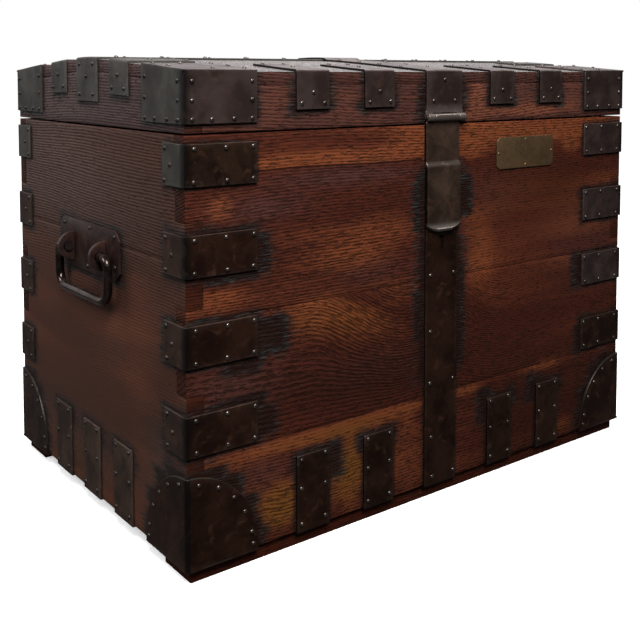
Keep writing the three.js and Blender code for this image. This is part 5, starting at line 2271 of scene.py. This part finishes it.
    def lock(self) -> None:
        """The strap over the lock, the lock's case and its bolt."""
        top, half = self.axis_height - self.step_drop - self.step_tall - 4, self.strap_wide / 2
        path = folded((-S.fit, top), (30.0, -S.fit))
        bar = Bar(path, Side.FRONT.place, S.clasp - half, S.clasp + half, seed=91.0, step=6.0, columns=12)
        thing = self.forged("lock_strap_iron", [bar], Finish.FOOT_IRON, replaces=["lock_strap"])
        self.pierce(self.bench, thing, -8.0, 4.0)
        self.bench.paint_side_shade(thing)
        self.rivets.add("chest_rivets", [bar.rivet(top - z, S.clasp + x) for x, z in self.STRAP_HEADS])
        self.bench.refined("lock_case", Finish.STEEL, bevel=0.4)
        self.bench.refined("lock_bolt", Finish.STEEL, "lock_bolt", 0.3)

    def name_plate(self) -> None:
        """The bare brass plate with its four pins."""
        self.bench.refined("name_plate", Finish.BRASS, bevel=0.35)
        low, high = self.bench.box("name_plate")
        mid, inset = (low + high) / 2, self.pin_inset
        places = [(mid[0], z) for z in (high[2] - inset, low[2] + inset)]
        places += [(x, mid[2]) for x in (low[0] + inset, high[0] - inset)]
        self.rivets.add_plain("name_plate_pins", [(x, low[1], z) for x, z in places], (0, -1, 0))

    def build(self) -> None:
        """Builds the clasp."""
        self.hasp()
        self.lock()
        self.name_plate()


# Handles


@dataclass
class Handle(Maker):
    """A drop handle on an end: a plate with two lugs and a bail."""

    PLATE_HEADS: ClassVar[Rows] = ((-79, 24), (-5, 26), (77, 24), (79, -14), (-79, -14), (3, -25))

    side: Side
    standoff: float = 11.0
    height: float = 321.5
    bar: float = 6.2
    sides: int = 20
    wide: float = 153.0
    drop: float = 55.5
    top_bend: float = 14.0
    bottom_bend: float = 24.0
    pin: float = 43.0
    slim: float = 0.93
    grip_half: float = 50.0

    def centre_line(self) -> Array:
        """Points of the bail's centre line in place along the end and height.

        Returns:
            The points.
        """
        arm, low = self.wide / 2, -self.drop
        top, bottom = self.top_bend, self.bottom_bend
        half = [(self.pin, 0.0), (self.pin + 8.0, 0.0)]
        half += curve((arm - top, 0), (arm, 0), (arm, -top), 10)
        half += curve((arm, low + bottom), (arm, low), (arm - bottom, low), 10)
        half += [(x, low) for x in (40.0, 20.0, 0.0)]
        return np.array([*half, *((-p[0], p[1]) for p in reversed(half[:-1]))])

    def bail(self) -> None:
        """The round bar, a little thicker at the grip."""
        line = self.centre_line()
        points = []
        for i, here in enumerate(line):
            ahead = line[min(i + 1, len(line) - 1)] - line[max(i - 1, 0)]
            ahead = ahead / np.linalg.norm(ahead)
            across = np.array([-ahead[1], ahead[0]])
            swell = (1 - self.slim) * math.exp(-((here[0] / self.grip_half) ** 2)) * (here[1] < -20)
            grip = self.bar * (self.slim + swell)
            for turn in (2 * math.pi * j / self.sides for j in range(self.sides)):
                spot = here + across * grip * math.cos(turn)
                points.append((-self.standoff + grip * math.sin(turn), self.height + spot[1], S.ridge + spot[0]))
        flat = np.array(points)
        flat += 0.18 * wavering(flat, 9.0, 5.0)[:, None]
        mesh = tube(self.bench.rowed(self.side.place(*flat.T)), len(line), self.sides, True)
        name = f"{self.side.value}_bail"
        self.bench.piece(f"{name}_bar", mesh, Finish.BAIL, name, [name], 50.0)

    def build(self) -> None:
        """Builds the handle."""
        self.bail()
        self.bench.refined(f"{self.side.value}_handle_plate", Finish.PLATE_IRON, bevel=0.9, segments=3)
        y, z = np.array(self.PLATE_HEADS).T
        spots = self.side.place(-S.fit - S.iron, self.height + 4 + z, S.ridge + y)
        self.rivets.add_plain("chest_rivets", spots, (-1 if self.side is Side.LEFT else 1, 0, 0))


# Studio


@dataclass
class Studio:
    """Pale floor, soft light and the camera at the photograph's angle."""

    bench: Bench
    camera_at: tuple[float, float, float] = (-885.21, -892.66, 550.95)
    yaw: float = 37.271
    pitch: float = 3.323
    focal: float = 939.55
    image: float = 640.0
    shift: float = -192.31
    sensor: float = 36.0
    floor_half: float = 9.0

    @staticmethod
    def stand(name: str, data: bpy.types.ID, place: Sequence[float], way: Vector) -> Thing:
        """Puts a camera or lamp in the scene so that it looks along a direction.

        Args:
            name: Name of the object.
            data: The camera or lamp.
            place: Where it stands, in metres of the row frame.
            way: The direction that it looks along.

        Returns:
            The new object.
        """
        thing = bpy.data.objects.new(name, data)
        thing.location = place
        thing.rotation_euler = way.to_track_quat("-Z", "Y").to_euler()
        bpy.context.scene.collection.objects.link(thing)
        return thing

    def camera(self) -> None:
        """Sets the camera."""
        data = bpy.data.cameras.new("Camera")
        data.sensor_width = self.sensor
        data.lens = self.focal / self.image * self.sensor
        data.shift_y = self.shift / self.image
        data.clip_end = 50.0
        yaw, pitch = math.radians(self.yaw), math.radians(self.pitch)
        way = Vector((math.sin(yaw) * math.cos(pitch), math.cos(yaw) * math.cos(pitch), -math.sin(pitch)))
        place = self.bench.rowed(np.array(self.camera_at))
        bpy.context.scene.camera = self.stand("Camera", data, place, way)

    def floor(self) -> None:
        """A wide pale floor."""
        corners = [(x * self.floor_half, y * self.floor_half, 0) for x, y in ((-1, -1), (1, -1), (1, 1), (-1, 1))]
        thing = linked("floor", solid(corners, [range(4)]))
        material = bpy.data.materials.new("Pale floor")
        material.use_nodes = True
        sheet = Sheet(material.node_tree)
        shader = material.node_tree.nodes["Principled BSDF"]
        seen = sheet.get("ShaderNodeLightPath", None, "Is Camera Ray")
        colour = seen.blend((0.07, 0.07, 0.07), (0.86, 0.86, 0.86))
        away = sheet.get("ShaderNodeVectorMath", {0: sheet.here()}, "Value", operation="LENGTH")
        inputs = {
            "Roughness": 0.9,
            "Specular IOR Level": 0.0,
            "Emission Color": (1.0, 1.0, 1.0),
            "Base Color": colour,
            "Emission Strength": seen * away.ranged(0.8, 4.0, 0.5, 1.0),
        }
        for key, value in inputs.items():
            sheet.feed(shader.inputs[key], value)
        thing.data.materials.append(material)

    def world(self) -> None:
        """Bright behind the chest, dim elsewhere, and white to the camera."""
        world = bpy.data.worlds.new("Studio")
        bpy.context.scene.world = world
        world.use_nodes = True
        sheet = Sheet(world.node_tree)
        way = sheet.get("ShaderNodeTexCoord", None, "Generated")
        inputs = {0: way, 1: (0.35, 0.94, 0.0)}
        facing = sheet.get("ShaderNodeVectorMath", inputs, "Value", operation="DOT_PRODUCT")
        light = facing.ranged(0.25, 0.95).blend((0.012, 0.012, 0.013), (0.95, 0.95, 0.98))
        seen = sheet.get("ShaderNodeLightPath", None, "Is Camera Ray")
        back = world.node_tree.nodes["Background"]
        sheet.feed(back.inputs["Color"], seen.blend(light, (1.0, 1.0, 1.0)))
        back.inputs["Strength"].default_value = 1.0

    def lamp(self, name: str, place: Colour, aim: Colour, size: Pair, power: float, tint: Colour = (1, 1, 1)) -> None:
        """A soft box.

        Args:
            name: Its name.
            place: Where it hangs, in metres of the row frame.
            aim: The point it faces.
            size: Its two sides in metres.
            power: Power in watts.
            tint: Colour of its light.
        """
        data = bpy.data.lights.new(name, "AREA")
        data.shape = "RECTANGLE"
        data.size, data.size_y = size
        data.energy = power
        data.color = tint
        self.stand(name, data, place, Vector(aim) - Vector(place))

    def build(self) -> None:
        """Builds the studio."""
        bpy.context.scene.view_settings.view_transform = "Standard"
        self.camera()
        self.floor()
        self.world()
        self.lamp("Key", (-0.85, -1.45, 2.2), (-0.1, -0.2, 0.35), (1.4, 1.0), 122.0, (1.0, 0.98, 0.95))
        self.lamp("Side", (-2.3, 0.9, 1.9), (-0.4, 0.0, 0.35), (1.2, 1.2), 38.0)
        self.lamp("Top", (1.1, 0.4, 2.4), (0.0, 0.0, 0.5), (2.4, 1.6), 60.0)


def main() -> None:
    """Builds the dressed chest and its studio."""
    logging.basicConfig(level=logging.INFO, format="%(message)s")
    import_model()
    bench = Bench()
    rivets = RivetKit(bench)
    carcase = Carcase(bench, rivets)
    carcase.build()
    CarcaseIron(bench, rivets, carcase).build()
    lid = Lid(bench, rivets)
    lid.build()
    LidIron(bench, rivets, lid).build()
    Clasp(bench, rivets).build()
    for side in (Side.LEFT, Side.RIGHT):
        Handle(bench, rivets, side).build()
    for body in ("chest", "lid"):
        # Rivets on the ends take the near-black copy: painted shade.
        rivets.set_heads(f"{body}_rivets", Finish.RIVET, body)
        rivets.set_heads(f"{body}_rivets_end", Finish.DULL_RIVET, body)
    rivets.set_heads("name_plate_pins", Finish.BRASS, "chest", radius=1.9, height=1.0)
    Studio(bench).build()


if __name__ == "__main__":
    main()
